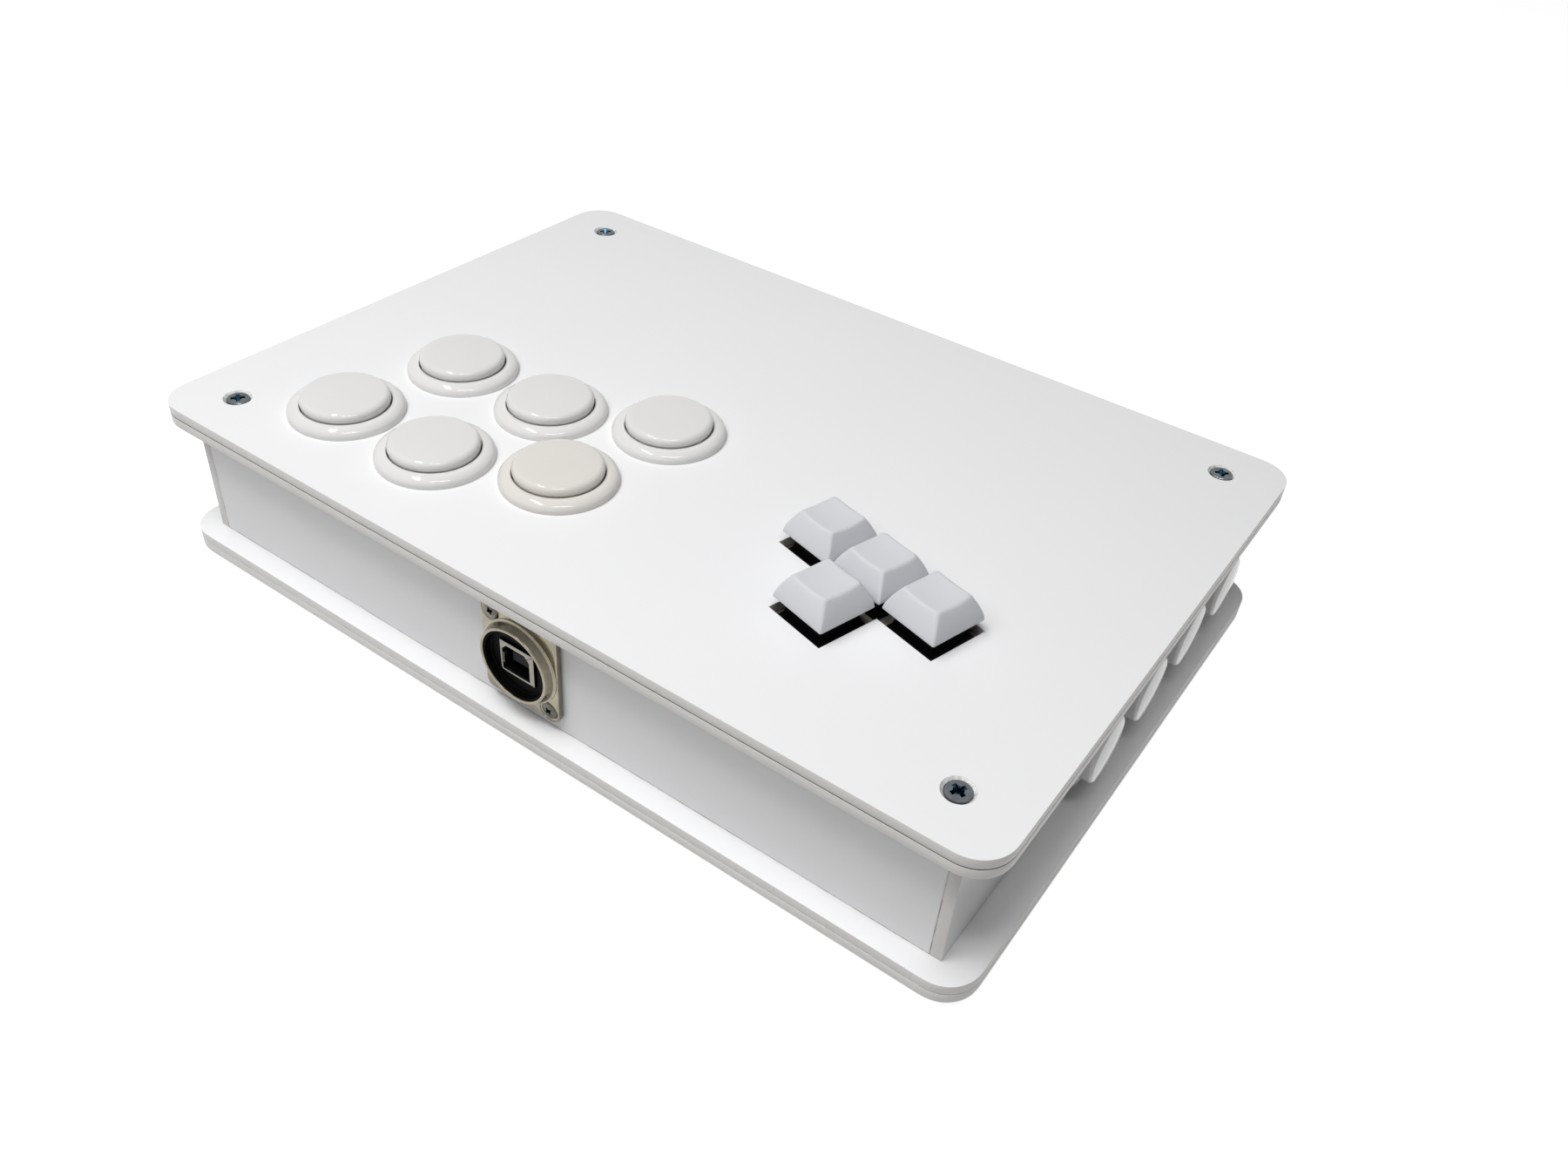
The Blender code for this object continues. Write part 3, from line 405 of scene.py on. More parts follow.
def cut_edge():
    """A laser-cut edge: warm grey, very finely ribbed across the sheet, with a few start marks."""
    finish = new_finish("acrylic_cut_edge", 0.38, IOR=1.49, Specular_IOR_Level=0.25)
    ribs = noise(finish, places(finish, (1, 1, 0.02)), 1400, 2)
    cloud = noise(finish, places(finish), 60, 3)
    tone = mixed(finish, cloud, (0.735, 0.722, 0.698), (0.785, 0.771, 0.747))
    tone = mixed(finish, ranged(finish, ribs, 0.45, 0.75, 0.0, 0.12), tone, (0.58, 0.565, 0.54))
    tone = mixed(finish, scattered(finish, 45, 0.0004, 0.08), tone, (0.52, 0.50, 0.465))
    into(finish, "Base Color", tone)
    bumped(finish, ribs, 0.08, 0.00004)
    return finish


def drilled_edge():
    """The wall of a countersink: frosted, with chips."""
    finish = new_finish("acrylic_countersink", 0.45, IOR=1.49, Specular_IOR_Level=0.35)
    chips = noise(finish, places(finish), 800, 5, 0.7)
    chipped = ranged(finish, chips, 0.5, 0.66)
    into(finish, "Base Color", mixed(finish, chipped, (0.86, 0.86, 0.85), (0.45, 0.445, 0.42)))
    bumped(finish, chips, 0.6, 0.0003)
    return finish


def glue(name, light, dark):
    """Dried solvent glue: grey-brown in broken dashes."""
    finish = new_finish(name, 0.4)
    dashes = noise(finish, places(finish), 260, 5, 0.6)
    into(finish, "Base Color", mixed(finish, ranged(finish, dashes, 0.42, 0.58), light, dark))
    bumped(finish, dashes, 0.2, 0.0001)
    return finish


def button_plastic(name, light, dark):
    """Glossy moulded plastic with a faint flow in its colour."""
    finish = new_finish(name, 0.06, IOR=1.5)
    flow = noise(finish, places(finish), 90, 3)
    tone = mixed(finish, flow, dark, light)
    tone = mixed(finish, scattered(finish, 160, 0.00008, 0.06), tone, [v * 0.5 for v in dark])
    into(finish, "Base Color", tone)
    smears = noise(finish, places(finish, (1, 2.5, 1)), 130, 5)
    into(finish, "Roughness", ranged(finish, smears, 0.35, 0.7, 0.04, 0.09))
    bumped(finish, noise(finish, places(finish), 260, 2), 0.03, 0.00005)
    return finish


def keycap_plastic():
    """Matte thick-walled plastic with a fine spark-eroded grain."""
    finish = new_finish("keycap_plastic", 0.6, IOR=1.5, Specular_IOR_Level=0.35)
    flow = noise(finish, places(finish), 140, 3)
    into(finish, "Base Color", mixed(finish, flow, (0.632, 0.640, 0.668), (0.668, 0.676, 0.705)))
    grain = noise(finish, places(finish), 5200, 3, 0.6)
    into(finish, "Roughness", ranged(finish, grain, 0.3, 0.7, 0.52, 0.68))
    bumped(finish, grain, 0.35, 0.00006)
    return finish


def black_nylon(name, level, gloss):
    """Dull moulded nylon, its colour a little bluish round that level."""
    finish = new_finish(name, 0.45, Specular_IOR_Level=gloss)
    grain = noise(finish, places(finish), 2600, 4)
    dark = (level * 0.6, level * 0.6, level * 0.65)
    light = (level * 1.5, level * 1.5, level * 1.55)
    into(finish, "Base Color", mixed(finish, grain, dark, light))
    into(finish, "Roughness", ranged(finish, grain, 0.3, 0.7, 0.35, 0.55))
    bumped(finish, grain, 0.3, 0.00005)
    return finish


def satin_metal(name, light, dark, roughness, grain_scale, stretch=(1, 1, 1)):
    """Plated or turned metal: fine grain, patches of tarnish and an uneven polish."""
    finish = new_finish(name, roughness, 1.0)
    tarnish = noise(finish, places(finish), 260, 4, 0.6)
    grain = noise(finish, places(finish, stretch), grain_scale, 3)
    tone = mixed(finish, ranged(finish, tarnish, 0.3, 0.7), light, dark)
    tone = mixed(finish, ranged(finish, grain, 0.4, 0.8, 0, 0.25), tone, [v * 0.85 for v in dark])
    into(finish, "Base Color", tone)
    into(finish, "Roughness", ranged(finish, grain, 0.3, 0.7, roughness - 0.04, roughness + 0.05))
    bumped(finish, grain, 0.12, 0.00003)
    return finish


def rubber():
    finish = new_finish("foot_rubber", 0.8)
    grain = noise(finish, places(finish), 1500, 4)
    into(finish, "Base Color", mixed(finish, grain, (0.018, 0.018, 0.019), (0.05, 0.05, 0.052)))
    bumped(finish, grain, 0.4, 0.0001)
    return finish


def board_mask():
    """Green solder mask over copper tracks, with tinned pads."""
    finish = new_finish("board_solder_mask", 0.35)
    inputs = {"Vector": places(finish), "Scale": 160, "Mortar Size": 0.06}
    inputs.update({"Color1": (0.010, 0.10, 0.045, 1), "Color2": (0.014, 0.13, 0.055, 1)})
    inputs["Mortar"] = (0.03, 0.22, 0.09, 1)
    tracks = add(finish, "ShaderNodeTexBrick", inputs)
    pads = scattered(finish, 400, 0.0006, 0.4)
    into(finish, "Base Color", mixed(finish, pads, tracks.outputs["Color"], (0.55, 0.53, 0.48)))
    bumped(finish, tracks.outputs["Fac"], 0.3, 0.00005)
    return finish


def foam():
    finish = new_finish("board_foam", 0.95)
    cells = add(finish, "ShaderNodeTexVoronoi", {"Vector": places(finish), "Scale": 1800})
    depth = cells.outputs["Distance"]
    into(finish, "Base Color", mixed(finish, depth, (0.55, 0.55, 0.52), (0.8, 0.8, 0.77)))
    bumped(finish, depth, 0.6, 0.0002)
    return finish


def stem_plastic():
    finish = new_finish("stem_acetal", 0.4)
    grain = noise(finish, places(finish), 1800, 3)
    into(finish, "Base Color", mixed(finish, grain, (0.14, 0.065, 0.035), (0.2, 0.1, 0.055)))
    bumped(finish, grain, 0.2, 0.00004)
    return finish


FACE = acrylic_face()
EDGE = cut_edge()
DRILLED = drilled_edge()
WINDOW_SHADE = painted_window_shade()
GLUE = glue("sheet_glue", (0.46, 0.44, 0.41), (0.26, 0.24, 0.215))
WALL_GLUE = glue("wall_glue", (0.66, 0.645, 0.61), (0.36, 0.32, 0.26))
BUTTON_WHITE = button_plastic("button_white_gloss", (0.752, 0.744, 0.738), (0.725, 0.716, 0.708))
BUTTON_CREAM = button_plastic("button_cream_gloss", (0.732, 0.708, 0.665), (0.706, 0.680, 0.636))
KEYCAP = keycap_plastic()
HOUSING = black_nylon("switch_housing_nylon", level=0.0025, gloss=0.06)
INSERT = black_nylon("socket_insert_nylon", level=0.0013, gloss=0.03)
TONGUE = black_nylon("socket_tongue_nylon", level=0.006, gloss=0.08)
STEM = stem_plastic()
NICKEL = satin_metal(
    "satin_nickel_casting",
    light=(0.30, 0.272, 0.215),
    dark=(0.215, 0.19, 0.14),
    roughness=0.2,
    grain_scale=2400,
)
SHELL = satin_metal(
    "socket_shell_steel",
    light=(0.225, 0.211, 0.184),
    dark=(0.17, 0.157, 0.134),
    roughness=0.2,
    grain_scale=2400,
    stretch=(1, 1, 0.2),
)
PLATED = satin_metal(
    "flange_screw_nickel",
    light=(0.13, 0.122, 0.107),
    dark=(0.075, 0.07, 0.06),
    roughness=0.2,
    grain_scale=3000,
)
ZINC = satin_metal(
    "dark_zinc_plate",
    light=(0.165, 0.185, 0.195),
    dark=(0.10, 0.115, 0.125),
    roughness=0.26,
    grain_scale=2600,
)
# blue zinc for the cross recess, darkened well below the head's zinc as painted shade in the recess
ZINC_RECESS_SHADE = satin_metal(
    "zinc_recess_painted_shade",
    light=(0.03, 0.075, 0.12),
    dark=(0.012, 0.035, 0.065),
    roughness=0.16,
    grain_scale=3000,
)
ALUMINIUM = satin_metal(
    "turned_aluminium",
    light=(0.72, 0.73, 0.74),
    dark=(0.60, 0.61, 0.62),
    roughness=0.32,
    grain_scale=1800,
    stretch=(1, 1, 8),
)
RUBBER = rubber()
BOARD = board_mask()
FOAM = foam()


# ---------------------------------------------------------------- sheets and walls
def flat_shaded(obj, axis):
    """Keeps the two broad faces of a sheet dead flat, so that no normal leans at a hole."""
    smooth(obj, 40, False)
    for face in obj.data.polygons:
        if abs(face.normal[axis]) > 0.9999:
            face.use_smooth = False
    return obj


def by_face(obj, test, index):
    """Gives the material at that index to the faces whose normal and middle pass the test."""
    for face in obj.data.polygons:
        if test(face.normal, face.center):
            face.material_index = index


def true_corners(sheet):
    """Bevels the upright edges in each corner of a sheet, so that its facets become a round."""
    radius = SHEET_CORNER * MM
    reach = [max(v.co[i] for v in sheet.data.vertices) - radius for i in range(2)]

    def upright_on_corner(a, b):
        across = (abs(a.x) - reach[0], abs(a.y) - reach[1])
        outer = min(across) > -0.01 * MM and math.hypot(*across) > radius - 0.05 * MM
        return outer and (a - b).xy.length < 0.001 * MM

    only(sheet)
    edit_mode()
    pick_edges(sheet, upright_on_corner)
    bpy.ops.mesh.bevel(offset=1.05 * MM, segments=4, affect="EDGES")
    bpy.ops.mesh.select_mode(type="VERT")
    object_mode()


def split_at_keys(sheet):
    """True corners, and the broad faces split across each key's opening, so that none folds."""
    true_corners(sheet)
    only(sheet)
    edit_mode()
    for key in KEYS:
        for across in ((1, 0, 0), (0, 1, 0)):
            bpy.ops.mesh.select_all(action="SELECT")
            bpy.ops.mesh.bisect(plane_co=middle_of(f"key_stem_{key}"), plane_no=across)
    object_mode()


def make_sheet(node, name):
    """A sheet with bare cut edges; the top one has a third finish for its countersinks, the
    mounting sheet painted shade on its upper face.
    """
    reshape = split_at_keys if node == "mounting_sheet" else true_corners
    sheet = paint(refined(node, name, width=0.12, reshape=reshape), FACE, EDGE, DRILLED)
    if node == "top_sheet":
        redrill(sheet)
    by_face(sheet, lambda normal, centre: abs(normal.z) < 0.6, 1)
    if node == "mounting_sheet":
        # the mounting sheet's upper faces, bare only in the key window, take the painted shade
        sheet.data.materials[2] = WINDOW_SHADE
        by_face(sheet, lambda normal, centre: normal.z > 0.9, 2)
    if node == "top_sheet":
        by_countersink(sheet, 2)
    flat_shaded(sheet, 2)
    return fit(sheet, "panel", node, slot="white_acrylic")


def by_countersink(sheet, index):
    """Gives the material at that index to the walls of the countersinks."""
    holes = [middle_of(f"screw_{corner}") for corner in CORNERS]

    def in_hole(normal, centre):
        nearest = min(math.dist(centre[:2], hole[:2]) for hole in holes)
        return normal.z < 0.95 and nearest < 4.6 * MM

    by_face(sheet, in_hole, index)


def redrill(sheet):
    """Turns each countersink true again with a finer cutter, which starts clear of the sheet."""
    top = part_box("top_sheet")[1].z
    slope = 1 / math.tan(math.radians(COUNTERSINK))
    mouth, throat, clear = 4.16, 2.12, 0.6
    depth = (mouth - throat) * slope
    profile = [(0, clear), (mouth + clear / slope, clear), (throat, -depth), (0, -depth)]
    for corner in CORNERS:
        centre = middle_of(f"screw_{corner}")
        cut(sheet, place(turned("countersink_drill", profile, 64), (centre.x, centre.y, top)))


def make_wall(node, name, thin_axis):
    panel = paint(refined(node, name, width=0.06), FACE, EDGE)
    by_face(panel, lambda normal, centre: abs(normal[thin_axis]) < 0.6, 1)
    flat_shaded(panel, thin_axis)
    return fit(panel, "panel", node, slot="white_acrylic")


def make_glue_lines():
    """Thin films between the two sheets of each pair, a little short of the cut edges."""
    short = 0.25
    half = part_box("bottom_outer_sheet")[1] / MM
    for name, lower, upper in (
        ("glue_top_sheets", "mounting_sheet", "top_sheet"),
        ("glue_bottom_sheets", "bottom_outer_sheet", "bottom_inner_sheet"),
    ):
        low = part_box(lower)[1].z / MM + FILM_GAP
        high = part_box(upper)[0].z / MM - FILM_GAP
        outline = (half.x - short, half.y - short, SHEET_CORNER - short)
        film = lofted(name, [(*outline, low), (*outline, high)], 12)
        if "top" in name:
            open_film(film, low)
        paint(film, GLUE)
        fit(smooth(film), "panel", slot="white_acrylic")


def open_film(film, height):
    """Cuts the upper film free of the keys, the button bodies and the screws."""
    key_centre = middle_of("keycap_down") / MM
    cut(film, block("opening", (90, 90, 4), (key_centre.x, key_centre.y + 10, height)))
    for node in nodes:
        for kind, radius in (("button_body", 17), ("screw_", 4)):
            if node.startswith(kind):
                centre = middle_of(node)
                hole = turned("hole", [(0, -2), (radius, -2), (radius, 2), (0, 2)], 24)
                cut(film, place(hole, (centre.x, centre.y, height * MM)))


def film_between(low, high):
    """A thin film that fills the space between two corners, in metres."""
    size, centre = (high - low) / MM, (high + low) / 2 / MM
    return soften(block("film", size, centre), 0.02, 1)


def make_wall_glue():
    """Films that seal each wall to its neighbours and to the sheets under and over it."""
    under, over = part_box("bottom_inner_sheet")[1].z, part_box("mounting_sheet")[0].z
    slip = FILM_GAP * MM
    inset = Vector((0.05, 0.05, 0)) * MM
    films = []
    for wall in ("back_wall", "front_wall", "left_end_wall", "right_end_wall"):
        low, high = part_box(wall)
        for bottom, top in ((under + slip, low.z - slip), (high.z + slip, over - slip)):
            start, end = low + inset, high - inset
            start.z, end.z = bottom, top
            films.append(film_between(start, end))
    end_low, end_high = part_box("right_end_wall")
    long_low, long_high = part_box("back_wall")
    across = 0.04 * MM
    for side in (1, -1):
        for row in (1, -1):
            xs = sorted((side * (long_high.x + slip), side * (end_low.x - slip)))
            ys = sorted((row * (long_low.y + across), row * (long_high.y - across)))
            start = Vector((xs[0], ys[0], end_low.z + slip))
            films.append(film_between(start, Vector((xs[1], ys[1], end_high.z - slip))))
    glue_film = join(*films)
    glue_film.name = glue_film.data.name = "glue_wall_joints"
    paint(glue_film, WALL_GLUE)
    fit(smooth(glue_film), "panel", slot="white_acrylic")


# ---------------------------------------------------------------- buttons
BARREL_GAP = 0.3  # between a button's barrel and its hole
TOP_BUTTON = {"hole": 15, "bore": 12.95, "rim_height": 3.1}
SIDE_BUTTON = {"hole": 12, "bore": 9.8, "rim_height": 3.0}


def ellipse(centre, radii, start, end, steps):
    circle = arc((0, 0), 1, start, end, steps)
    return [(centre[0] + radii[0] * x, centre[1] + radii[1] * y) for x, y in circle]


def body_profile(hole, rim, rim_height, bore, barrel_depth, well_depth):
    """Half of a button body's section: well, bore, lip, domed rim and barrel."""
    barrel = hole - BARREL_GAP
    crest = bore + (rim - bore) * 0.2
    shoulder = rim_height * 0.3
    dome = ellipse((crest, shoulder), (rim - crest, rim_height - shoulder), 90, 0, 12)
    lip = arc((bore + 0.22, rim_height * 0.985 - 0.22), 0.22, 180, 105, 4)
    return (
        [(0, -well_depth), (bore, -well_depth), (bore, rim_height * 0.4)]
        + lip
        + dome
        + [(rim, 0.1), (rim - 0.05, 0.02), (barrel, 0.02)]
        + [(barrel, -barrel_depth + 0.6), (barrel - 0.6, -barrel_depth), (0, -barrel_depth)]
    )


def plunger_profile(button, proud, skirt_depth, stem_radius, stem_depth, fillet):
    """Half of a plunger's section: a shallow dome rolled into the stepped skirt, and the stem."""
    rim_height = button["rim_height"]
    radius = button["bore"] - 0.2
    waist = radius - 0.25
    sag = proud * 0.055
    flat = radius - fillet
    dome = [(flat * i / 8, proud - sag * (i / 8) ** 2) for i in range(8)]
    roll = arc((flat, proud - sag - fillet), fillet, 90, 0, 10)
    step = [(radius, 0.22), (radius - 0.06, 0.12), (waist, 0.08)]
    return (
        dome
        + roll
        + [(x, rim_height + y) for x, y in step]
        + [(waist, -skirt_depth + 0.3), (waist - 0.3, -skirt_depth), (stem_radius, -skirt_depth)]
        + [(stem_radius, -stem_depth + 0.3), (stem_radius - 0.3, -stem_depth), (0, -stem_depth)]
    )


def snap_parts(hole, barrel_depth, panel):
    """The two barbed tabs, the switch block and its terminals below a button's barrel."""
    parts = []
    barrel = hole - BARREL_GAP
    level = -panel - 1.8
    for sign in (1, -1):
        tab = block("tab", (hole / 2, 2.0, 3.0), (0, sign * barrel, level))
        only(tab)
        edit_mode()
        pick_points(
            tab, lambda point: sign * point.co.y > barrel * MM and point.co.z < level * MM
        )
        bpy.ops.transform.translate(value=(0, -sign * 1.4 * MM, 0))
        object_mode()
        parts.append(soften(tab, 0.15))
    floor = -barrel_depth - 6.5
    switch = block("switch", (hole * 1.32, 6.4, 7.5), (0, 0, floor + 3.75))
    parts.append(soften(switch, 0.3, 3))
    for sign in (1, -1):
        blade = block("blade", (0.8, 4.8, 6.0), (sign * hole * 0.45, 0, floor - 2.0))
        parts.append(soften(blade, 0.1))
    return parts


def make_body(name, hole, rim, rim_height, bore, barrel_depth, well_depth, panel):
    """A button body that is snapped into a panel of that thickness."""
    body = turned(name, body_profile(hole, rim, rim_height, bore, barrel_depth, well_depth), 96)
    join(body, *snap_parts(hole, barrel_depth, panel))
    return smooth_turned(body)


def make_top_buttons():
    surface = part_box("top_sheet")[1].z
    body = make_body(
        "rim_and_body", rim=16.65, barrel_depth=20, well_depth=12.0, panel=SHEET, **TOP_BUTTON
    )
    section = plunger_profile(
        TOP_BUTTON, proud=6.2, skirt_depth=6.5, stem_radius=3.0, stem_depth=8.4, fillet=1.6
    )
    plunger = smooth_turned(turned("plunger", section, 96))
    for row in ("front", "back"):
        for side in ("left", "middle", "right"):
            key = f"{row}_{side}"
            centre = middle_of(f"plunger_{key}")
            finish = BUTTON_CREAM if key == "back_left" else BUTTON_WHITE
            slot = "button_cream" if key == "back_left" else "button_white"
            where = (centre.x, centre.y, surface)
            rim = place(another(body, f"button_rim_{key}"), where)
            fit(paint(rim, finish), "panel", f"button_body_{key}", slot=slot)
            cap = place(another(plunger, f"button_cap_{key}"), where)
            fit(paint(cap, finish), f"plunger_{key}", f"plunger_{key}", slot=slot)
    bpy.data.objects.remove(body)
    bpy.data.objects.remove(plunger)


# from face up to facing left, and from face up to facing back with the piece's +Y down
TO_LEFT = (Matrix.Rotation(-math.pi / 2, 3, "Y") @ Matrix.Rotation(math.pi / 2, 3, "Z")).to_euler()
TO_BACK = (-math.pi / 2, 0, 0)


def make_side_buttons():
    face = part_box("left_end_wall")[0].x
    body = make_body(
        "side_rim_and_body", rim=13.6, barrel_depth=17, well_depth=11.0, panel=WALL, **SIDE_BUTTON
    )
    section = plunger_profile(
        SIDE_BUTTON, proud=7.3, skirt_depth=5.5, stem_radius=2.5, stem_depth=7.4, fillet=1.1
    )
    plunger = smooth_turned(turned("side_plunger", section, 80))
    for i in range(1, 5):
        centre = middle_of(f"side_plunger_{i}")
        where = (face, centre.y, centre.z)
        rim = place(another(body, f"side_rim_{i}"), where, TO_LEFT)
        fit(paint(rim, BUTTON_WHITE), "panel", f"side_button_body_{i}", slot="button_white")
        cap = place(another(plunger, f"side_cap_{i}"), where, TO_LEFT)
        fit(paint(cap, BUTTON_WHITE), f"side_plunger_{i}", f"side_plunger_{i}", slot="button_white")
    bpy.data.objects.remove(body)
    bpy.data.objects.remove(plunger)


# ---------------------------------------------------------------- keys
CAP_FOOT = 9.05  # half the width at the foot
CAP_TAPER = 3.1  # how much nearer each side is at the crown
CAP_BOW = 1.55  # the power that bows the sides
CAP_HEIGHT = 7.2
CAP_WALL = 1.3
CAP_ROOF = 4.9  # height of the hollow
CAP_DISH = 40  # radius of the ball that dishes the crown


def cap_half(share):
    """Half the cap's width at that share of its height."""
    return CAP_FOOT - CAP_TAPER * share**CAP_BOW


def cap_rings():
    """The hollow from its roof down, the bowed sides up, and the crown inwards."""
    roof = cap_half(CAP_ROOF / CAP_HEIGHT) - CAP_WALL
    mouth = CAP_FOOT - CAP_WALL
    rings = [(roof, roof, 0.6, CAP_ROOF), (mouth, mouth, 0.5, 0.12)]
    for i in range(9):
        share = i / 8
        side = cap_half(share)
        rings.append((side, side, 0.5 + 0.6 * share, CAP_HEIGHT * share))
    for inset in (0.85, 1.4, 2.0, 2.6, 3.3, 4.0, 4.7, 5.4):
        side = cap_half(1) - inset
        corner = max(0.25, 1.1 - inset * 0.16)
        rings.append((side, side, corner, CAP_HEIGHT + inset * 0.05))
    return rings


def dish_crown(cap):
    """Presses the crown down on to a big ball, which meets it near its corners."""
    corner = 1.6
    reach = math.sqrt(2) * (cap_half(1) - corner) + corner
    centre = CAP_HEIGHT + math.sqrt(CAP_DISH**2 - reach**2)
    only()
    bpy.ops.mesh.primitive_uv_sphere_add(
        radius=CAP_DISH * MM,
        segments=256,
        ring_count=256,
        location=(0, 0, centre * MM),
        rotation=(1.2, 0.4, 0.3),
    )
    ball = named("dishing_ball")
    group = cap.vertex_groups.new(name="crown")
    crown = [v.index for v in cap.data.vertices if v.co.z > (CAP_HEIGHT - 0.01) * MM]
    group.add(crown, 1, "REPLACE")
    apply_modifier(
        cap,
        "SHRINKWRAP",
        target=ball,
        vertex_group="crown",
        wrap_method="PROJECT",
        use_project_z=True,
        use_negative_direction=True,
        use_positive_direction=False,
        project_limit=3 * MM,
    )
    bpy.data.objects.remove(ball)
    cap.vertex_groups.clear()


def on_crown_edge(point):
    return point.co.z > 6.6 * MM and max(abs(point.co.x), abs(point.co.y)) > 5.35 * MM


def make_keycap(name):
    """A low hollow cap with bowed sides, a dished crown and a rounded edge between them."""
    cap = lofted(name, cap_rings(), 6, side_cuts=7)
    dish_crown(cap)
    only(cap)
    edit_mode()
    pick_points(cap, on_crown_edge)
    bpy.ops.mesh.bevel(offset=0.6 * MM, segments=5, affect="EDGES")
    object_mode()
    soften(cap, 0.15, angle=38)
    return smooth(cap, 60, False)


def make_keys():
    source = make_keycap("keycap_source")
    turn = math.radians(-15)
    for key in KEYS:
        low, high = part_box(f"keycap_{key}")
        centre = (low + high) / 2
        cap = place(another(source, f"cap_{key}"), (centre.x, centre.y, low.z), (0, 0, turn))
        fit(paint(cap, KEYCAP), f"key_{key}", f"keycap_{key}", slot="keycap_white")
        node = f"switch_housing_{key}"
        housing = refined(node, f"housing_{key}", width=0.1, merge_flats=False)
        smooth(paint(housing, HOUSING))
        fit(housing, "panel", node, slot="housing_black")
        paint_node(f"key_stem_{key}", STEM)
    bpy.data.objects.remove(source)


def paint_node(node, finish):
    for slot in nodes[node].material_slots:
        slot.material = finish


# ---------------------------------------------------------------- fasteners and feet
def cross_drill(width, slot, depth, level):
    """A cutter for a cross recess with its mouth at that level: two blades and a cone."""
    parts = []
    clear = 0.6
    for turn in (0, math.pi / 2):
        middle = level + (clear - depth) / 2
        blade = block("blade", (width, slot, depth + clear), (0, 0, middle))
        only(blade)
        edit_mode()
        pick_points(blade, lambda point: point.co.z < (level - depth / 2) * MM)
        bpy.ops.transform.resize(value=(0.4, 0.7, 1), center_override=(0, 0, 0))
        object_mode()
        parts.append(place(blade, turn=(0, 0, turn)))
    floor = level - depth
    cone = [(0, level + 0.5), (width * 0.32, level + 0.5), (width * 0.12, floor), (0, floor - 0.2)]
    return parts + [turned("core", cone, 24)]


def make_screw_source(name, head, shank, sink, wall, length, recess, dome, half_angle):
    """A countersunk screw, face up, with a slightly domed head and a cross recess.

    sink is how deep the head lies, wall its cylindrical edge, and recess (width, slot, depth).
    """
    slope = 1 / math.tan(math.radians(half_angle))
    edge = 0.07 * head
    under = -sink - edge - wall
    neck = under - (head - shank) * slope
    crown = [((head - edge) * i / 6, -sink + dome * (1 - (i / 6) ** 2)) for i in range(7)]
    profile = crown + [(head, -sink - edge), (head, under), (shank, neck)]
    profile += [(shank, -length + 0.5), (shank - 0.5, -length), (0, -length)]
    screw = turned(name, profile, 64)
    cut(screw, *cross_drill(*recess, dome - sink))
    soften(screw, 0.1, 3, 32)
    width, _, depth = recess
    paint(screw, ZINC, ZINC_RECESS_SHADE)
    # painted shade: the faces inside the cross recess take the darkened blue zinc
    by_face(
        screw,
        lambda normal, centre: math.hypot(centre.x, centre.y) < width * 0.52 * MM
        and (dome - sink - depth - 0.3) * MM < centre.z < (-sink + dome * 0.7 - 0.16) * MM,
        1,
    )
    return smooth_turned(screw)


def make_corner_screws():
    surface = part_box("top_sheet")[1].z
    length = (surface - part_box("screw_back_left")[0].z) / MM
    source = make_screw_source(
        "screw_source",
        head=3.28,
        shank=1.75,
        sink=0.1,
        wall=0.65,
        length=length,
        recess=(4.85, 1.28, 1.7),
        dome=0.1,
        half_angle=COUNTERSINK,
    )
    for corner, turn in zip(CORNERS, (62, 55, 47, 27)):
        centre = middle_of(f"screw_{corner}")
        where = (centre.x, centre.y, surface)
        screw = place(another(source, f"corner_screw_{corner}"), where, (0, 0, math.radians(turn)))
        fit(screw, "panel", f"screw_{corner}", slot="dark_zinc")
    bpy.data.objects.remove(source)


def make_standoffs():
    for corner in CORNERS:
        post = refined(f"standoff_{corner}", f"hex_post_{corner}", width=0.15)
        smooth(paint(post, ALUMINIUM))
        fit(post, "panel", f"standoff_{corner}", slot="aluminium")


def make_feet():
    profile = [(0, 3.0), (6.0, 3.0), (6.25, 2.85), (6.3, 2.6), (5.55, 0.6)]
    profile += arc((5.0, 0.5), 0.5, 0, -90, 5)
    profile += [(1.4, 0), (1.2, 0.7), (0, 0.7)]
    source = smooth_turned(turned("foot_source", profile, 64))
    for corner in CORNERS:
        centre = middle_of(f"foot_{corner}")
        foot = place(another(source, f"rubber_foot_{corner}"), (centre.x, centre.y, 0))
        fit(paint(foot, RUBBER), "panel", f"foot_{corner}", slot="rubber")
    bpy.data.objects.remove(source)


# ---------------------------------------------------------------- socket
SHELL_FRONT = 3.05  # height of the shell's front over the wall
MOUTH = (0.5, 0.3)  # the middle of the shell's mouth, off the ring's own middle


def make_socket():
    """The flange and what it holds: modelled face up, then turned into the back wall."""
    low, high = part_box("usb_flange")
    wall_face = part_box("back_wall")[1].y
    where = Vector(((low.x + high.x) / 2, wall_face, (low.z + high.z) / 2))
    half_x = (high.x - low.x) / 2 / MM
    half_y = (high.z - low.z) / 2 / MM
    screw_x, screw_y = half_x - 3.5, half_y - 3.5
    pieces = [make_flange(half_x, half_y, screw_x, screw_y), make_insert(), make_shell()]
    pieces += make_flange_screws(screw_x, screw_y)
    stands_for = ("usb_flange", "usb_insert", "usb_shell", "usb_screw_upper", "usb_screw_lower")
    for piece, node in zip(pieces, stands_for):
        place(piece, where, TO_BACK)
        fit(piece, "panel", node, slot="housing_black" if node == "usb_insert" else "satin_nickel")


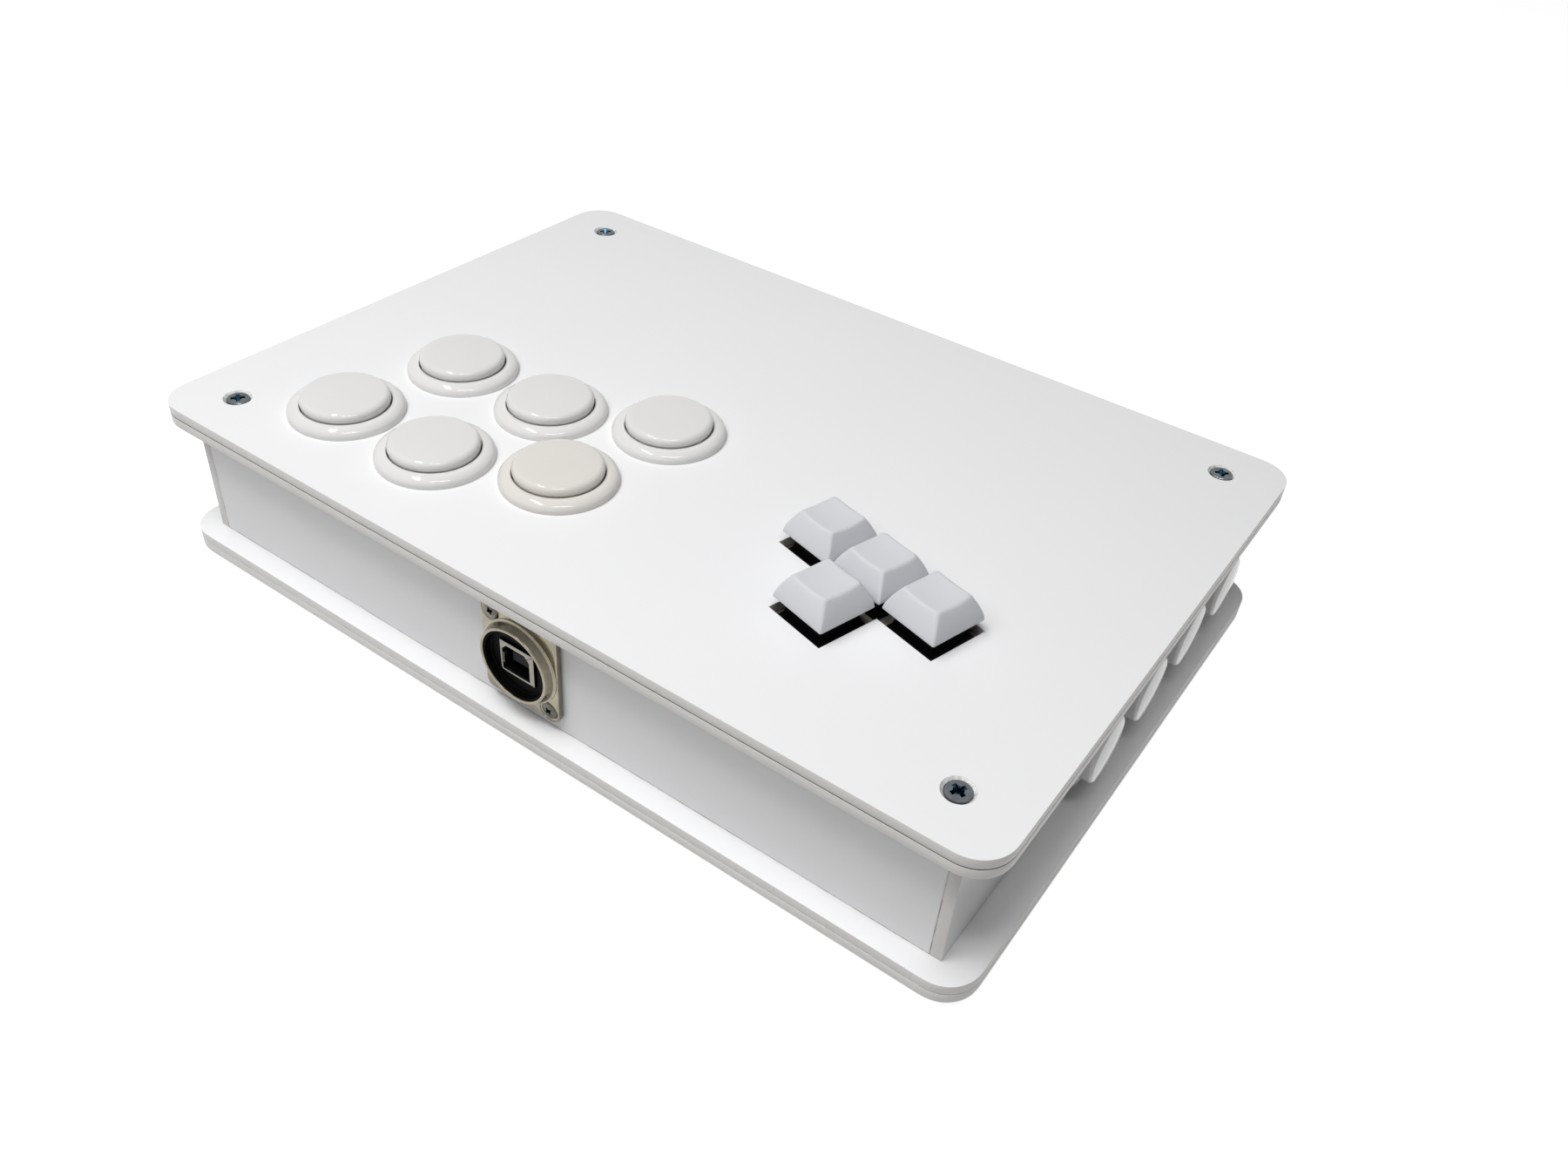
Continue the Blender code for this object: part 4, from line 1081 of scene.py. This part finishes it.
def make_flange_screws(screw_x, screw_y):
    source = make_screw_source(
        "flange_screw_source",
        head=2.62,
        shank=1.3,
        sink=0.0,
        wall=0.05,
        length=8,
        recess=(2.9, 0.8, 1.1),
        dome=0.33,
        half_angle=45,
    )
    source.data.materials[0] = PLATED
    # painted shade: the cross recess of each flange screw takes the near-black nylon, standing in
    # for the shade in it
    source.data.materials[1] = INSERT
    screws = []
    for name, sign, turn in (("flange_screw_upper", 1, 28), ("flange_screw_lower", -1, 40)):
        where = (sign * screw_x * MM, -sign * screw_y * MM, 2.05 * MM)
        screws.append(place(another(source, name), where, (0, 0, math.radians(turn))))
    bpy.data.objects.remove(source)
    return screws


def make_flange(half_x, half_y, screw_x, screw_y):
    """The cast plate, with a sunk seat cut for each screw, and the proud ring with its bead."""
    outline = (half_x, half_y, 2.8)
    plate = soften(lofted("socket_flange", [(*outline, 0.3), (*outline, 2.1)], 8), 0.4, 4)
    seat = [(0, 2.6), (3.3, 2.6), (3.1, 1.95), (2.85, 1.9), (1.45, 0.5), (1.45, -2), (0, -2)]
    for sign in (1, -1):
        where = (sign * screw_x * MM, -sign * screw_y * MM, 0)
        cut(plate, place(turned("drill", seat, 48), where))
    bead = [(12.75, 1.0), (12.86, 2.06), (12.84, 2.28), (12.72, 2.38)]
    foot = arc((12.62, 2.9), 0.5, 270, 182, 6)
    rim = arc((11.22, 4.66), 0.3, 8, 90, 6)
    inner = arc((10.92, 4.66), 0.3, 90, 172, 5)
    profile = [(10.6, -15), (11.6, -15), (11.6, 1.0)] + bead + foot + rim + inner + [(10.6, -15)]
    ring = turned("ring", profile, 160)
    cut(plate, turned("bore", [(0, 6), (11.8, 6), (11.8, -2), (0, -2)], 160))
    return smooth_turned(paint(join(plate, ring), NICKEL))


def mouth_block(name, size, centre, bevel):
    """A block whose two long edges on the upper side are cut off, as a type B mouth is."""
    obj = block(name, size, centre)
    only(obj)
    edit_mode()
    pick_edges(obj, lambda a, b: abs(a.z - b.z) > MM and a.y < centre[1] * MM)
    bpy.ops.mesh.bevel(offset=bevel * MM, segments=1)
    object_mode()
    return obj


def make_insert():
    """The black body: a sleeve in the ring, a face round the shell, a black skin inside the shell's
    mouth as painted shade for its inner walls, and the tongue.
    """
    outer = [(0, -22), (10.3, -22), (10.3, 1.0), (10.5, 1.2), (10.5, 4.5), (10.4, 4.62)]
    outer += [(10.25, 4.6), (10.1, 4.4), (9.95, 2.7), (9.7, 2.42), (0, 2.4)]
    insert = turned("socket_insert", outer, 128)
    cut(insert, block("pocket", (12.3, 10.9, 11.0), (0, 0, SHELL_FRONT - 5.8)))
    notch = block("notch", (1.6, 1.3, 1.4), (10.3, 0, 4.2))
    cut(insert, place(notch, turn=(0, 0, math.atan2(-10.7, 1.55))))
    soften(insert, 0.06)
    front = SHELL_FRONT - 0.6
    # painted shade: a black skin inside the shell's mouth stands in for the shade on the shell's
    # inner walls
    mouth_shade = mouth_block("mouth_shade", (9.42, 8.42, 10.3), (*MOUTH, front - 5.15), 1.58)
    cut(mouth_shade, mouth_block("throat", (8.8, 7.8, 12), (*MOUTH, front - 3.4), 1.4))
    soften(mouth_shade, 0.05)
    paint(smooth_turned(join(insert, mouth_shade)), INSERT)
    tongue = block("tongue", (5.6, 3.2, 11.2), (*MOUTH, front - 6.8))
    return join(insert, paint(soften(tongue, 0.15, 3), TONGUE))


def make_shell():
    """A rolled steel shell with a type B mouth, a seam at one corner and a spring contact."""
    outline = (5.85, 5.15, 0.25)
    shell = lofted("socket_shell", [(*outline, SHELL_FRONT - 11), (*outline, SHELL_FRONT)], 3)
    cut(shell, mouth_block("mouth", (9.5, 8.5, 24), (*MOUTH, -2), 1.6))
    seam = block("seam", (3.4, 0.16, 0.5), (0, 0, SHELL_FRONT))
    cut(shell, place(seam, (-4.9 * MM, -4.35 * MM, 0), (0, 0, math.radians(40))))
    soften(shell, 0.2, 3)
    spring = soften(block("spring", (0.3, 3.6, 5.0), (5.0, 0.9, 0.35)), 0.1)
    return smooth_turned(paint(join(shell, spring), SHELL))


# ---------------------------------------------------------------- stage
def seen_directly_or_mirrored(tree):
    """1 for camera, glossy and transmission rays, and 0 for the light that the object gathers."""
    path = tree.nodes.new("ShaderNodeLightPath")
    total = path.outputs["Is Camera Ray"]
    for ray in ("Is Glossy Ray", "Is Transmission Ray"):
        either = tree.nodes.new("ShaderNodeMath")
        either.operation = "MAXIMUM"
        tree.links.new(total, either.inputs[0])
        tree.links.new(path.outputs[ray], either.inputs[1])
        total = either.outputs[0]
    return total


def make_stage():
    """A wide pale floor just under the feet; seen or mirrored it glows, so that it is white."""
    only()
    bpy.ops.mesh.primitive_circle_add(
        vertices=96, radius=6, fill_type="NGON", location=(0, 0, -0.4 * MM)
    )
    floor = named("studio_floor")
    finish = new_finish("pale_floor", 0.9)
    shader = finish.node_tree.nodes["Principled BSDF"]
    shader.inputs["Base Color"].default_value = (0.62, 0.62, 0.62, 1)
    shader.inputs["Emission Color"].default_value = (1, 1, 1, 1)
    seen = seen_directly_or_mirrored(finish.node_tree)
    into(finish, "Emission Strength", reckoned(finish, "MULTIPLY", seen, 0.84))
    paint(floor, finish)


def make_world():
    """White where it is seen or mirrored, and next to no light on the object."""
    world = bpy.data.worlds.new("studio")
    bpy.context.scene.world = world
    world.use_nodes = True
    tree = world.node_tree
    tree.nodes.clear()
    out = tree.nodes.new("ShaderNodeOutputWorld")
    mix = tree.nodes.new("ShaderNodeMixShader")
    tree.links.new(seen_directly_or_mirrored(tree), mix.inputs[0])
    for slot, strength in ((1, 0.01), (2, 1.0)):
        room = tree.nodes.new("ShaderNodeBackground")
        room.inputs["Color"].default_value = (1, 1, 1, 1)
        room.inputs["Strength"].default_value = strength
        tree.links.new(room.outputs[0], mix.inputs[slot])
    tree.links.new(mix.outputs[0], out.inputs[0])


def area_lamp(name, start, end, width, power, mirrored):
    """A soft lamp from start to end, in metres, turned towards the object."""
    start, end = Vector(start), Vector(end)
    centre = (start + end) / 2
    along = (end - start).normalized()
    away = centre - Vector((0, 0, 0.03))
    away = (away - along * away.dot(along)).normalized()
    light = bpy.data.lights.new(name, "AREA")
    light.shape = "RECTANGLE"
    light.size = (end - start).length
    light.size_y = width
    light.energy = power
    obj = bpy.data.objects.new(name, light)
    bpy.context.scene.collection.objects.link(obj)
    turn = Matrix((along, away.cross(along), away)).transposed()
    obj.matrix_world = Matrix.Translation(centre) @ turn.to_4x4()
    obj.visible_glossy = mirrored


def make_lights():
    """Two big soft boxes, and two long ceiling lamps, which are all that the gloss mirrors."""
    for name, start, end, width, power, mirrored in (
        ("side_softbox", (0.4, 0.36, 0.7), (0.0, 0.62, 0.7), 0.4, 1.85, False),
        ("overhead_softbox", (-0.25, 0.35, 1.1), (0.25, 0.35, 1.1), 0.5, 4.0, False),
        ("ceiling_lamp_near", (-0.13, 0.45, 0.88), (-0.5, 0.19, 0.85), 0.08, 1.9, True),
        ("ceiling_lamp_far", (0.44, 0.0, 0.9), (0.12, 0.43, 0.89), 0.08, 2.4, True),
    ):
        area_lamp(name, start, end, width, power, mirrored)


def make_camera():
    """Over the back left corner, looking down across the top, and rolled a little."""
    eye = Vector((-0.185816, 0.264392, 0.259421))
    target = Vector((-0.038578, 0.026943, 0.0333))
    back = (eye - target).normalized()
    right = Vector((0, 0, 1)).cross(back).normalized()
    up = back.cross(right)
    roll = Matrix.Rotation(-0.094, 3, "Z")
    turn = (roll @ Matrix((right, up, back))).transposed()
    camera = bpy.data.cameras.new("camera")
    camera.lens = 29.784
    camera.sensor_width = 36
    camera.clip_start = 0.005
    obj = bpy.data.objects.new("camera", camera)
    bpy.context.scene.collection.objects.link(obj)
    obj.matrix_world = Matrix.Translation(eye) @ turn.to_4x4()
    bpy.context.scene.camera = obj


# ---------------------------------------------------------------- the whole object
def main():
    make_camera()
    make_sheet("top_sheet", "top_plate")
    make_sheet("mounting_sheet", "mounting_plate")
    make_sheet("bottom_inner_sheet", "bottom_inner_plate")
    make_sheet("bottom_outer_sheet", "bottom_outer_plate")
    make_wall("back_wall", "back_panel", 1)
    make_wall("front_wall", "front_panel", 1)
    make_wall("left_end_wall", "left_end_panel", 0)
    make_wall("right_end_wall", "right_end_panel", 0)
    make_glue_lines()
    make_wall_glue()
    make_top_buttons()
    make_side_buttons()
    make_keys()
    make_corner_screws()
    make_standoffs()
    make_feet()
    make_socket()
    paint_node("controller_board", BOARD)
    paint_node("board_pad", FOAM)
    make_stage()
    make_world()
    make_lights()
    bpy.context.scene.view_settings.view_transform = "Standard"


main()
